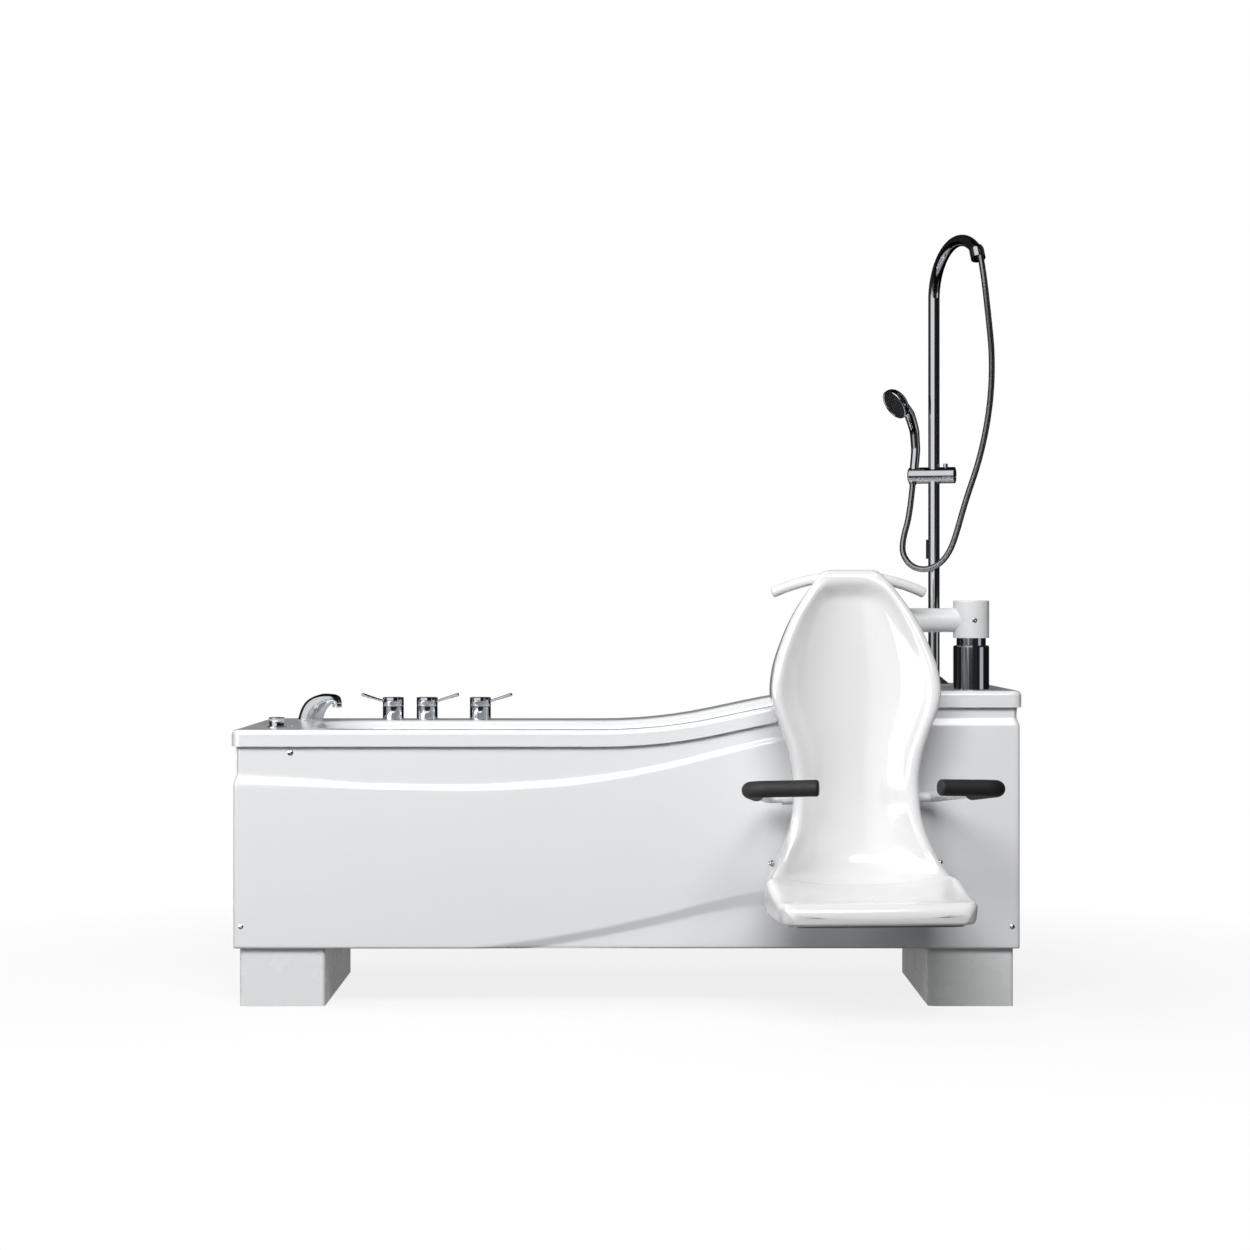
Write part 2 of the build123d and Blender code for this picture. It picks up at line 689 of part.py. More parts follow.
def post_head():
    """White head that turns on the ram's spigot."""
    head = rounded_top(rod(SLEEVE_DIAMETER, HEAD_LOW, HEAD_TOP), 3)
    head -= rod(SPIGOT + RUN_GAP, 0, HEAD_TOP - SPIGOT_DROP + 1)
    return head - Pos(0, 0, ARM_Z) * Rot(90, 0, 0) * Cylinder(HEAD_SCREW / 2 + 0.2, FAR, align=ON_FACE)


def head_screw():
    """Screw in the front of the head with a domed cover."""
    face = SLEEVE_DIAMETER / 2
    shank = Pos(0, 0, face - HEAD_SCREW_LONG) * Cylinder(HEAD_SCREW / 2, HEAD_SCREW_LONG, align=ON_FACE)
    cover = Sphere(HEAD_SCREW_CAP / 2) & Pos(0, 0, HEAD_SCREW_CAP / 2) * Box(FAR, FAR, HEAD_SCREW_CAP)
    return Pos(0, 0, ARM_Z) * Rot(90, 0, 0) * (shank + Pos(0, 0, face) * cover)


def seat_arm():
    """Round arm from the head to behind the seat, closed at its end."""
    along = Pos(0, 0, ARM_Z) * Rot(0, -90, 0)
    reach = ARM_PAST - SEAT_X
    arm = along * Cylinder(ARM_DIAMETER / 2, reach, align=ON_FACE)
    arm -= along * Cylinder(ARM_DIAMETER / 2 - ARM_WALL, reach - ARM_WALL, align=ON_FACE)
    return arm - rod(SLEEVE_DIAMETER, 0, FAR)


def arm_bracket():
    """Welded block between the arm and the seat's spine."""
    back = SEAT_Y + rear(ARM_Z - ARM_DIAMETER / 2) + SPINE_DEEP + 2 * SEAT_GAP
    bracket = block((SEAT_X - 30, SEAT_X + 30), (back + 3, 0), (ARM_Z - 38, ARM_Z + 38))
    bracket -= Pos(0, 0, ARM_Z) * Rot(0, 90, 0) * Cylinder(ARM_DIAMETER / 2, FAR)
    bracket -= block((-FAR, 0), (-12, FAR), (0, FAR))
    return bracket - seat(0, 0) * lean_slab(-50, SPINE_DEEP + 2 * SEAT_GAP, SPINE_LOW, FAR, FAR)


def spine():
    """Upright behind the shell that carries the seat, handle and armrests."""
    bar = seat(0, 0) * lean_slab(SEAT_GAP, SPINE_DEEP + SEAT_GAP, SPINE_LOW, SPINE_TOP, SPINE_WIDE)
    near = rear(SPINE_LOW) + SEAT_GAP
    foot = seat(0, 0) * block(
        (-SPINE_WIDE / 2, SPINE_WIDE / 2), (near, near + SPINE_DEEP), (SEAT_LOW - PLATE_WALL, SPINE_LOW))
    return bar + foot - seat(0, 0) * handle_rod(HANDLE_DIAMETER + SEAT_GAP)


def shell_outline(inset):
    """Hourglass outline of the shell seen from the front, moved in by inset."""
    half = [
        (SHELL_TOP_HALF, SHELL_TOP), (NECK_HALF, NECK_Z), (SHOULDER_HALF, SHOULDER_Z), (RIB_HALF, RIB_Z),
        (WAIST_HALF, WAIST_Z), (HIP_HALF, HIP_Z), (SEAT_HALF, SEAT_REAR_Z)]
    half = [(x - inset, z) for x, z in half]
    half[0] = (SHELL_TOP_HALF - inset / 2, SHELL_TOP - inset)
    side = [
        Spline(*half, tangents=((0.8, -0.6), (0.55, -0.85))),
        Line(half[0], (0, SHELL_TOP - inset)),
        Polyline(
            half[-1], (SEAT_FRONT_HALF - inset, SEAT_REAR_Z - 8), (SEAT_FRONT_HALF - inset, SEAT_LOW - 1),
            (0, SEAT_LOW - 1), (0, SHELL_TOP - inset)),
    ]
    right = make_face(side)
    return right + mirror(right, Plane.YZ)


def seat_plan(inset):
    """Seat outline seen from above, moved in by inset."""
    front = -SEAT_LONG + inset
    half = SEAT_FRONT_HALF - inset + 1
    face = make_face(Polyline((-half, FAR), (-half, front), (half, front), (half, FAR), close=True))
    corners = face.vertices().group_by(Axis.Y)[0]
    return fillet(corners, SEAT_CORNER)


def shell_side():
    """Side profile of the whole shell: leaning back, deep bolsters and seat pan."""
    front = Spline(
        (rear(SHELL_TOP) - 32, SHELL_TOP), (rear(SHOULDER_Z) - 86, SHOULDER_Z), (rear(WAIST_Z) - 62, WAIST_Z),
        (-95, SEAT_REAR_Z + 22))
    seat_line = Polyline(
        (-95, SEAT_REAR_Z + 22), (-SEAT_LONG, SEAT_FRONT_Z), (-SEAT_LONG + 6, SEAT_LOW),
        (rear(SEAT_LOW), SEAT_LOW), (rear(SHELL_TOP), SHELL_TOP), (rear(SHELL_TOP) - 32, SHELL_TOP))
    return make_face([front, seat_line])


def shell_hollow():
    """Side profile of the space in front of the back and over the seat."""
    def inner(z):
        return (rear(z) - SHELL_WALL, z)

    seat_top = SEAT_REAR_Z - 6
    bend = 45
    edges = [
        Line(inner(SHELL_TOP), inner(seat_top + bend)),
        ThreePointArc(
            inner(seat_top + bend), (rear(seat_top) - SHELL_WALL - bend * 0.3, seat_top + bend * 0.3),
            (rear(seat_top) - SHELL_WALL - bend, seat_top)),
        ThreePointArc(
            (rear(seat_top) - SHELL_WALL - bend, seat_top), (-SEAT_LONG / 2, SEAT_FRONT_Z - 7),
            (-SEAT_LONG + 25, SEAT_FRONT_Z)),
        Polyline((-SEAT_LONG + 25, SEAT_FRONT_Z), (-SEAT_LONG, SEAT_FRONT_Z + 30), (-SEAT_LONG, SHELL_TOP),
                 inner(SHELL_TOP)),
    ]
    return make_face(edges)


def seat_shell():
    """Moulded bucket: back with bolsters and the seat pan in one."""
    solid = prism_yz(shell_side()) & prism_xz(shell_outline(0))
    solid &= extrude(seat_plan(0), FAR)
    hollow = prism_yz(shell_hollow()) & prism_xz(shell_outline(BOLSTER))
    hollow &= extrude(seat_plan(BOLSTER - 5), FAR)
    inside = SEAT_FRONT_HALF - 2 * SHELL_WALL
    under = block(
        (-inside, inside), (2 * SHELL_WALL - SEAT_LONG, -2 * SHELL_WALL),
        (SEAT_LOW - 1, SEAT_FRONT_Z - 2 * SHELL_WALL))
    return seat(0, 0) * (solid - hollow - under)


def seat_plate():
    """Thin plate under the seat, carried by the spine's foot."""
    depth = (PLATE_FRONT - SEAT_LONG, rear(SEAT_LOW) + SEAT_GAP)
    plate = block((-PLATE_HALF, PLATE_HALF), depth, (SEAT_LOW - PLATE_WALL, SEAT_LOW - SEAT_GAP))
    upright = [e for e in plate.edges() if abs(e.tangent_at(0.5).Z) > 0.9 and e.center().Y < -100]
    return seat(0, 0) * fillet(upright, 25)


def handle_rod(diameter):
    """Bowed bar behind the top of the shell, in the seat's frame."""
    y = rear(HANDLE_Z) + SPINE_DEEP / 2 + SEAT_GAP
    left, right = (-HANDLE_HALF, y + 10, HANDLE_END_Z), (HANDLE_HALF, y + 10, HANDLE_END_Z)
    path = ThreePointArc(left, (0, y, HANDLE_Z), right)
    return sweep(Plane(origin=path @ 0, z_dir=path % 0) * Circle(diameter / 2), path)


ARMREST_Y = rear(ARMREST_Z) + SPINE_DEEP + 2 * SEAT_GAP + CROSSBAR / 2


def armrest_points(side):
    """Corner points of one armrest's tube, level, before its rise."""
    hub = CROSSBAR_HALF + SEAT_GAP + HUB_WIDE
    return [
        (side * (hub - 8), ARMREST_Y, 0), (side * (hub + 34), ARMREST_Y, 0),
        (side * 293, -305, 0), (side * 140, -345, 0)]


def raised(solid):
    """Lift an armrest drawn level to its height and its gentle rise."""
    about = Pos(0, ARMREST_Y, 0)
    return seat(0, 0) * Pos(0, 0, ARMREST_Z) * about * Rot(-ARMREST_RISE, 0, 0) * about.inverse() * solid


def armrest(side):
    """One fold-up armrest: hub, tube run forward and front bar."""
    tube = bent_tube(armrest_points(side), ARMREST_BENDS, ARM_TUBE)
    centre = side * (CROSSBAR_HALF + SEAT_GAP + HUB_WIDE / 2)
    hub = Pos(centre, ARMREST_Y, 0) * Rot(0, 90, 0) * Cylinder(HUB / 2, HUB_WIDE)
    bore = Pos(centre, ARMREST_Y, 0) * Rot(0, 90, 0) * Cylinder(HUB_STUB / 2 + SEAT_GAP, HUB_WIDE)
    stub_room = Pos(side * (CROSSBAR_HALF + HUB_WIDE / 2), ARMREST_Y, 0) * Rot(0, 90, 0) * Cylinder(
        HUB_STUB / 2 + SEAT_GAP, HUB_WIDE)
    return raised(tube + hub - bore - stub_room)


def armrest_grip(side):
    """Foam sleeve over the front bar, the bend and part of the run."""
    points = armrest_points(side)
    begin = [points[1][i] + 0.55 * (points[2][i] - points[1][i]) for i in range(3)]
    end = [points[3][i] + 0.02 * (points[3][i] - points[2][i]) for i in range(3)]
    route = [tuple(begin), points[2], tuple(end)]
    sleeve = bent_tube(route, ARMREST_BENDS[1:], GRIP_DIAMETER)
    return raised(sleeve - bent_tube(points, ARMREST_BENDS, ARM_TUBE))


def crossbar():
    """Bar behind the spine with a stub at each end for the armrest hubs."""
    at = seat(0, ARMREST_Y, ARMREST_Z) * Rot(0, 90, 0)
    bar = Cylinder(CROSSBAR / 2, 2 * CROSSBAR_HALF)
    stubs = Cylinder(HUB_STUB / 2, 2 * (CROSSBAR_HALF + HUB_WIDE - 2))
    return at * (bar + stubs)


def seat_bolt(side):
    """Bolt with a cylindrical head in the shell's side, low on the back."""
    at = seat(side * BOLT_OUT, BOLT_Y, BOLT_Z) * Rot(0, side * 90, 0)
    head = at * Cylinder(BOLT_HEAD / 2, BOLT_HEAD_HIGH, align=ON_FACE)
    shank = at * Cylinder(BOLT_SHANK / 2, BOLT_LONG, align=UNDER_FACE)
    return head + shank


bolts = [seat_bolt(side) for side in (-1, 1)]
shell = seat_shell()
for side in (-1, 1):
    shell -= seat(side * BOLT_OUT, BOLT_Y, BOLT_Z) * Rot(0, 90, 0) * Cylinder(BOLT_SHANK / 2, 3 * BOLT_LONG)
save("seat_shell", swung(shell))
save("seat_bolts", *[swung(bolt) for bolt in bolts])
save("seat_plate", swung(seat_plate()))
save("seat_spine", swung(spine()))
save("push_handle", swung(seat(0, 0) * handle_rod(HANDLE_DIAMETER)))
save("post_head", swung(post_head()))
save("head_screw", swung(head_screw()))
save("seat_arm", swung(seat_arm()))
save("arm_bracket", swung(arm_bracket()))
save("armrest_crossbar", swung(crossbar()))
for name, side in {"left": -1, "right": 1}.items():
    save(f"armrest_{name}", swung(armrest(side)))
    save(f"armrest_grip_{name}", swung(armrest_grip(side)))


# Taps, spout and waste
DECK = RIM_FOOT + SEAT_GAP


def valve_body(x):
    """Fixed lower part of one tap with its threaded tail and back nut."""
    body = rod(VALVE_DIAMETER, DECK, RIM_FOOT + VALVE_SPLIT, x, VALVE_Y)
    body += rod(TAIL_DIAMETER, RIM_FOOT - TAIL_LONG, DECK, x, VALVE_Y)
    body += rod(STEM_DIAMETER, RIM_FOOT + VALVE_SPLIT, RIM_FOOT + VALVE_SPLIT + STEM_HIGH, x, VALVE_Y)
    return body


def back_nut(x, y, deck):
    """Hexagon nut that clamps a tail under the deck."""
    low = deck - SKIN - SEAT_GAP
    ring = RegularPolygon(NUT_CORNER, 6) - Circle(TAIL_DIAMETER / 2 + 0.1)
    return Pos(x, y, low - NUT_THICK) * extrude(ring, NUT_THICK)


def valve_handle(x, side):
    """Turning cap of one tap with its raised lever."""
    low = RIM_FOOT + VALVE_SPLIT + SEAT_GAP
    cap = rounded_top(rod(VALVE_DIAMETER, low, RIM_FOOT + VALVE_HIGH, x, VALVE_Y), 1.5)
    cap -= rod(STEM_DIAMETER + RUN_GAP, low - 1, low + STEM_HIGH + 1, x, VALVE_Y)
    lever_z = RIM_FOOT + VALVE_SPLIT + 6
    root = Pos(x, VALVE_Y, lever_z) * Rot(0, side * (90 - LEVER_RISE), 0) * Pos(0, 0, STEM_DIAMETER)
    lever = root * Cylinder(LEVER_DIAMETER / 2, LEVER_REACH - STEM_DIAMETER, align=ON_FACE)
    return cap + lever


def spout_section(upper, lower, width):
    """Oval across the spout between one point of each outline."""
    middle = ((upper[0] + lower[0]) / 2, 0, (upper[1] + lower[1]) / 2)
    along = Vector(lower[0] - upper[0], 0, lower[1] - upper[1])
    plane = Plane(origin=middle, x_dir=along, z_dir=along.cross(Vector(0, 1, 0)) * -1)
    return (plane * Ellipse(along.length / 2, width / 2)).face()


def spout():
    """Spout on a broad foot that arches over and turns down to its mouth."""
    body = loft([spout_section(*section) for section in SPOUT_SECTIONS])
    return Pos(SPOUT_X, SPOUT_Y, DECK) * body + rod(
        TAIL_DIAMETER, RIM_FOOT - TAIL_LONG, DECK, SPOUT_X, SPOUT_Y)


def spout_ring():
    """Aerator ring under the spout's mouth."""
    x, high = SPOUT_X + SPOUT_MOUTH[0], DECK + SPOUT_MOUTH[1] - SEAT_GAP
    return pipe(SPOUT_BORE - 1, SPOUT_BORE - 8, high - AERATOR_HIGH, high, x, SPOUT_Y)


def outlet(diameter):
    """Round bar along the outlet: out of the cup's side and then straight down."""
    turn = (WASTE_X - OUTLET_REACH, WASTE_Y, OUTLET_Z)
    low = OUTLET_Z - OUTLET_BEND - OUTLET_LONG
    return bent_tube([(WASTE_X, WASTE_Y, OUTLET_Z), turn, (turn[0], WASTE_Y, low)], OUTLET_BEND, diameter)


def waste_body():
    """Cup through the well's floor, closed below, with its outlet bent down beside it."""
    low, top = OUTLET_Z - WASTE_OUTLET / 2 - OUTLET_WALL, WELL_FLOOR + WASTE_FLANGE_HIGH
    flange = rod(WASTE_FLANGE, WELL_FLOOR + SEAT_GAP, top, WASTE_X, WASTE_Y)
    cup = rod(WASTE_DIAMETER, low, WELL_FLOOR + SEAT_GAP, WASTE_X, WASTE_Y)
    inside = rod(PLUG_DIAMETER, low + 2 * OUTLET_WALL, top, WASTE_X, WASTE_Y)
    return flange + cup + outlet(WASTE_OUTLET) - outlet(WASTE_OUTLET - 2 * OUTLET_WALL) - inside


def waste_plug():
    """Pop-up plug with its stem, resting in the waste."""
    top = WELL_FLOOR + 5
    low = WELL_FLOOR - 4
    plug = rod(PLUG_DIAMETER - RUN_GAP, low, top, WASTE_X, WASTE_Y)
    return rounded_top(plug, 2) + rod(8, low - PLUG_STEM, low, WASTE_X, WASTE_Y)


def waste_knob():
    """Ribbed knob that works the waste."""
    low = DECK + KNOB_FLANGE_HIGH + SEAT_GAP
    knob = rounded_top(rod(KNOB_DIAMETER, low, RIM_FOOT + KNOB_HIGH, KNOB_X, KNOB_Y), 2)
    return knob - rod(KNOB_STEM + RUN_GAP, low, low + STEM_HIGH, KNOB_X, KNOB_Y)


def knob_base():
    """Thin flange with its tail and the stem that the knob turns on."""
    base = rod(KNOB_FLANGE, DECK, DECK + KNOB_FLANGE_HIGH, KNOB_X, KNOB_Y)
    base += rod(TAIL_DIAMETER, RIM_FOOT - TAIL_LONG, DECK, KNOB_X, KNOB_Y)
    return base + rod(KNOB_STEM, DECK, DECK + STEM_HIGH + 1, KNOB_X, KNOB_Y)


def deck_sensor():
    """Small level sensor with its tail through the deck."""
    dot = rounded_top(rod(SENSOR_DIAMETER, DECK, DECK + 2, SENSOR_X, SENSOR_Y), 0.8)
    return dot + rod(SENSOR_DIAMETER - 2.4, RIM_FOOT - SKIN, DECK, SENSOR_X, SENSOR_Y)


save("valve_bodies", *[valve_body(x) for x in VALVE_XS])
for name, x, side in zip(("shower", "hot", "cold"), VALVE_XS, (-1, 1, 1)):
    save(f"valve_handle_{name}", valve_handle(x, side))
save("spout", spout())
save("spout_ring", spout_ring())
save("waste_body", waste_body())
save("waste_plug", waste_plug())
save("waste_knob", waste_knob())
save("knob_base", knob_base())
tails = [(x, VALVE_Y, RIM_FOOT) for x in VALVE_XS]
tails += [(SPOUT_X, SPOUT_Y, RIM_FOOT), (KNOB_X, KNOB_Y, RIM_FOOT), (RISER_X, RISER_Y, RIM_HEAD)]
save("back_nuts", *[back_nut(*place) for place in tails])
save("deck_sensor", deck_sensor())


# Shower riser, slider, handset and hose
def crook_point(angle, out=0):
    """Point on the crook's centre line after an angle of sweep, moved outward by out."""
    turn = radians(angle)
    radius = CROOK_R + out
    level = CROOK_R - radius * cos(turn)
    return (
        RISER_X + level * cos(radians(CROOK_YAW)),
        RISER_Y + level * sin(radians(CROOK_YAW)),
        CROOK_START + radius * sin(turn))


def riser_pipe():
    """Polished tube from the deck up and round its crook."""
    low = RIM_HEAD + SEAT_GAP
    arc = ThreePointArc(crook_point(0), crook_point(CROOK_SWEEP / 2), crook_point(CROOK_SWEEP))
    path = Line((RISER_X, RISER_Y, low), (RISER_X, RISER_Y, CROOK_START)) + arc
    start = Plane(origin=(RISER_X, RISER_Y, low))
    tube = sweep(start * (Circle(RISER_DIAMETER / 2) - Circle(RISER_DIAMETER / 2 - RISER_WALL)), path)
    tail = pipe(TAIL_DIAMETER, TAIL_DIAMETER - 6, RIM_HEAD - TAIL_LONG, low + 4, RISER_X, RISER_Y)
    ring = pipe(RISER_DIAMETER, TAIL_DIAMETER - 6, low, low + 4, RISER_X, RISER_Y)
    bell = Plane(origin=crook_point(CROOK_SWEEP), z_dir=BELL_AXIS) * Sphere(BELL_DIAMETER / 2)
    return tube + tail + ring - bell


BELL_AXIS = Vector(0.12, -0.45, -0.885)


def hose_bell():
    """Bell fitting at the end of the crook, domed behind and open in front."""
    end = Vector(*crook_point(CROOK_SWEEP))
    radius = BELL_DIAMETER / 2
    at = Plane(origin=end, z_dir=BELL_AXIS)
    body = at * (Sphere(radius) & Pos(0, 0, -radius / 2) * Box(FAR, FAR, radius))
    body += at * Cylinder(radius, BELL_DEEP, align=ON_FACE)
    body -= at * Pos(0, 0, BELL_FLOOR) * Cylinder(radius - BELL_WALL, BELL_DEEP, align=ON_FACE)
    spigot_long = BELL_DEEP - 4 - BELL_FLOOR
    spigot = at * Pos(0, 0, BELL_FLOOR) * Cylinder(HOSE_DIAMETER / 2 + 2, spigot_long, align=ON_FACE)
    return body + spigot


def riser_rosette():
    """Conical cover where the riser meets the deck."""
    low = RIM_HEAD + SEAT_GAP
    cone = Pos(RISER_X, RISER_Y, low) * Cone(ROSETTE / 2, RISER_DIAMETER / 2 + 3, ROSETTE_HIGH, align=ON_FACE)
    return cone - rod(RISER_DIAMETER + 0.2, 0, FAR, RISER_X, RISER_Y)


def riser_clip():
    """Half-round clip on the back of the riser."""
    low, high = CLIP_Z - CLIP_HIGH / 2, CLIP_Z + CLIP_HIGH / 2
    ring = pipe(RISER_DIAMETER + 12, RISER_DIAMETER + 0.2, low, high, RISER_X, RISER_Y)
    return ring & Pos(RISER_X, RISER_Y, 0) * Rot(0, 0, 30) * block((-FAR, FAR), (3, FAR), (0, 2 * FAR))


def slider_frame():
    """Frame of the slider: local Z runs along its barrel towards the right."""
    yaw = radians(SLIDER_YAW)
    return Plane(origin=(RISER_X, RISER_Y, SLIDER_Z), x_dir=(0, 0, 1), z_dir=(cos(yaw), sin(yaw), 0))


def on_barrel(along):
    """Point on the slider's axis at a distance from the riser."""
    yaw = radians(SLIDER_YAW)
    return (RISER_X + along * cos(yaw), RISER_Y + along * sin(yaw), SLIDER_Z)


def handset_point(side, high):
    """Point in the handset's bending plane, side towards the spray."""
    foot = on_barrel(-HANDSET_AT)
    return (foot[0] - 0.88 * side, foot[1] - 0.474 * side, foot[2] + high)


HANDSET_ROUTE = [handset_point(*place) for place in HANDSET_LINE]
SPRAY_AXIS = Vector(-0.742, -0.40, -0.541)
SPRAY_CENTRE = Vector(*handset_point(*SPRAY_AT))


def handset():
    """Curved handle with a domed spray head."""
    handle = bent_tube(HANDSET_ROUTE, HANDSET_BENDS, HANDLE_TUBE)
    at = Plane(origin=SPRAY_CENTRE, z_dir=SPRAY_AXIS)
    radius = (SPRAY_DIAMETER**2 / 4 + SPRAY_DEEP**2) / (2 * SPRAY_DEEP)
    cover = Cylinder(SPRAY_DIAMETER / 2, SPRAY_DEEP, align=UNDER_FACE)
    dome = at * (Pos(0, 0, radius - SPRAY_DEEP) * Sphere(radius) & cover)
    room = at * Pos(0, 0, -PLATE_SET) * Cylinder(SPRAY_DIAMETER / 2 - 5, PLATE_SET, align=ON_FACE)
    front = at * Cylinder(SPRAY_DIAMETER, SPRAY_DIAMETER, align=ON_FACE)
    return handle + dome - room - front


def spray_plate():
    """Dark plate with the spray nozzles, set in the head."""
    at = Plane(origin=SPRAY_CENTRE, z_dir=SPRAY_AXIS)
    return at * Pos(0, 0, -PLATE_SET) * Cylinder(SPRAY_DIAMETER / 2 - 5.2, PLATE_SET - 0.5, align=ON_FACE)


def slider():
    """Barrel that runs on the riser and holds the handset."""
    frame = slider_frame()
    length = SLIDER_LEFT + SLIDER_RIGHT
    barrel = frame * Pos(0, 0, -SLIDER_LEFT) * Cylinder(SLIDER_DIAMETER / 2, length, align=ON_FACE)
    barrel = fillet(barrel.edges().group_by(Axis.X)[0], 6)
    barrel -= rod(RISER_DIAMETER + RUN_GAP, CLIP_Z, CROOK_START, RISER_X, RISER_Y)
    barrel -= bent_tube(HANDSET_ROUTE, HANDSET_BENDS, HANDLE_TUBE + 0.2)
    barrel -= frame * Pos(0, 0, SLIDER_RIGHT - CAP_SET) * Cylinder(
        SLIDER_DIAMETER / 2 - 2, 2 * CAP_SET, align=ON_FACE)
    x, y, z = on_barrel(CLAMP_AT)
    return barrel - rod(CLAMP_STEM + RUN_GAP, z + 8, z + SLIDER_DIAMETER, x, y)


def slider_knob():
    """Small clamp knob on top of the slider."""
    x, y, z = on_barrel(CLAMP_AT)
    top = z + SLIDER_DIAMETER / 2
    knob = rounded_top(rod(CLAMP_DIAMETER, top + SEAT_GAP, top + 9, x, y), 1.5)
    return knob + rod(CLAMP_STEM, z + 9, top + SEAT_GAP, x, y)


def slider_cap():
    """Dark disc that closes the slider's right end."""
    place = slider_frame() * Pos(0, 0, SLIDER_RIGHT - CAP_SET)
    return place * Cylinder(SLIDER_DIAMETER / 2 - 2.2, CAP_SET - 1, align=ON_FACE)


# Hose route: down from the bell, in front of the riser and up into the handset
BELL_MOUTH = Vector(*crook_point(CROOK_SWEEP)) + BELL_AXIS.normalized() * (BELL_DEEP - 4)
HANDSET_FOOT = Vector(*HANDSET_ROUTE[0])
HANDSET_DOWN = (HANDSET_FOOT - Vector(*HANDSET_ROUTE[1])).normalized()
HOSE_LED = BELL_MOUTH + BELL_AXIS.normalized() * HOSE_LEAD
HOSE_ROUTE = [
    tuple(BELL_MOUTH), tuple(HOSE_LED), *[(RISER_X + x, RISER_Y + y, z) for x, y, z in HOSE_LINE],
    tuple(HANDSET_FOOT + HANDSET_DOWN * HOSE_RISE), tuple(HANDSET_FOOT)]


def corner_radii(points):
    """Largest arc at each corner that its two runs allow."""
    radii = []
    for before, corner, after in zip(points, points[1:], points[2:]):
        turn = radians((Vector(*corner) - Vector(*before)).get_angle(Vector(*after) - Vector(*corner)))
        radii.append(0.45 * min(dist(before, corner), dist(corner, after)) / tan(turn / 2))
    return radii


hose_radii = corner_radii(HOSE_ROUTE)
hose = bent_tube(HOSE_ROUTE, hose_radii, HOSE_DIAMETER)
hose_path = FilletPolyline(*HOSE_ROUTE, radius=hose_radii)
print("hose radii", [round(radius) for radius in hose_radii])
print("hose runs", [round(dist(a, b)) for a, b in zip(HOSE_ROUTE, HOSE_ROUTE[1:])])
print("hose length", round(hose_path.length), "volume ratio", round(
    hose.volume / (hose_path.length * pi * HOSE_DIAMETER**2 / 4), 4))

save("riser_pipe", riser_pipe())
save("riser_rosette", riser_rosette())
save("riser_clip", riser_clip())
save("hose_bell", hose_bell())
save("slider", slider())
save("slider_cap", slider_cap())
save("slider_knob", slider_knob())
save("handset", handset())
save("spray_plate", spray_plate())
save("shower_hose", hose)
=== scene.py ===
"""Looks of a height-adjustable assisted bath with a transfer seat and a shower riser.

Lengths are metres in the row's frame: X along the bath to the head end, Y away from the
open side, Z up from the floor.
"""
import json
import logging
from bisect import bisect_right
from dataclasses import dataclass
from enum import Enum
from math import atan, cos, degrees, hypot, pi, radians, sin, sqrt, tan
from typing import Callable, Sequence

import bpy
from mathutils import Matrix, Vector

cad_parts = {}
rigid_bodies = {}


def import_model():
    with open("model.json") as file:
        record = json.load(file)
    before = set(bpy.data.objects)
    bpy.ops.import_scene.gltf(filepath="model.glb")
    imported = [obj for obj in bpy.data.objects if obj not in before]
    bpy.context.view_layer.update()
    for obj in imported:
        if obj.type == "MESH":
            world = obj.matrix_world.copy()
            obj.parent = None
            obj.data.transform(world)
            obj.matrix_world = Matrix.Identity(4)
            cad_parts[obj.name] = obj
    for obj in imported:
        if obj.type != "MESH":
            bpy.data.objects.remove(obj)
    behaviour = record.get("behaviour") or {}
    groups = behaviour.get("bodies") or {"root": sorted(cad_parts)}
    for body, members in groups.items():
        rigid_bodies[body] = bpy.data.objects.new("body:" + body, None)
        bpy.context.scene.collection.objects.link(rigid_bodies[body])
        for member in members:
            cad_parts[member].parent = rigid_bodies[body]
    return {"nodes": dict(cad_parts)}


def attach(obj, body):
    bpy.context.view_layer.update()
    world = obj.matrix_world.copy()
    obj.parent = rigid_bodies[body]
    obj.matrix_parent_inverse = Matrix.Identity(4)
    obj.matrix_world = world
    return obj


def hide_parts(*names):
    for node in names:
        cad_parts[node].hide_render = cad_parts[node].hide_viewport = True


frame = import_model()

log = logging.getLogger("bath")
Point = tuple[float, float, float]
Flat = tuple[float, float]
MM = 0.001


# Small helpers

def linear(code: str) -> tuple[float, float, float, float]:
    """Turn an sRGB hex colour into linear light.

    Args:
        code: colour such as "#EDEDEE".

    Returns:
        Red, green, blue and an alpha of 1.
    """
    parts = [int(code[i:i + 2], 16) / 255 for i in (1, 3, 5)]
    bent = [c / 12.92 if c <= 0.04045 else ((c + 0.055) / 1.055) ** 2.4 for c in parts]
    return bent[0], bent[1], bent[2], 1.0


def add_node(tree: bpy.types.NodeTree, kind: str, settings: dict | None = None,
             links: dict | None = None) -> bpy.types.Node:
    """Add one node with its settings and links.

    Args:
        tree: node tree that gets the node.
        kind: Blender's name of the node type.
        settings: values for the node's own properties, or for its inputs by name or number.
        links: input name or number to the output socket that feeds it.

    Returns:
        The new node.
    """
    node = tree.nodes.new(kind)
    for key, value in (settings or {}).items():
        if isinstance(key, int) or key in node.inputs:
            node.inputs[key].default_value = value
        else:
            setattr(node, key, value)
    for key, source in (links or {}).items():
        tree.links.new(source, node.inputs[key])
    return node


def smooth_step(value: float) -> float:
    """Ease from 0 to 1 with level ends."""
    value = min(max(value, 0.0), 1.0)
    return value * value * (3 - 2 * value)


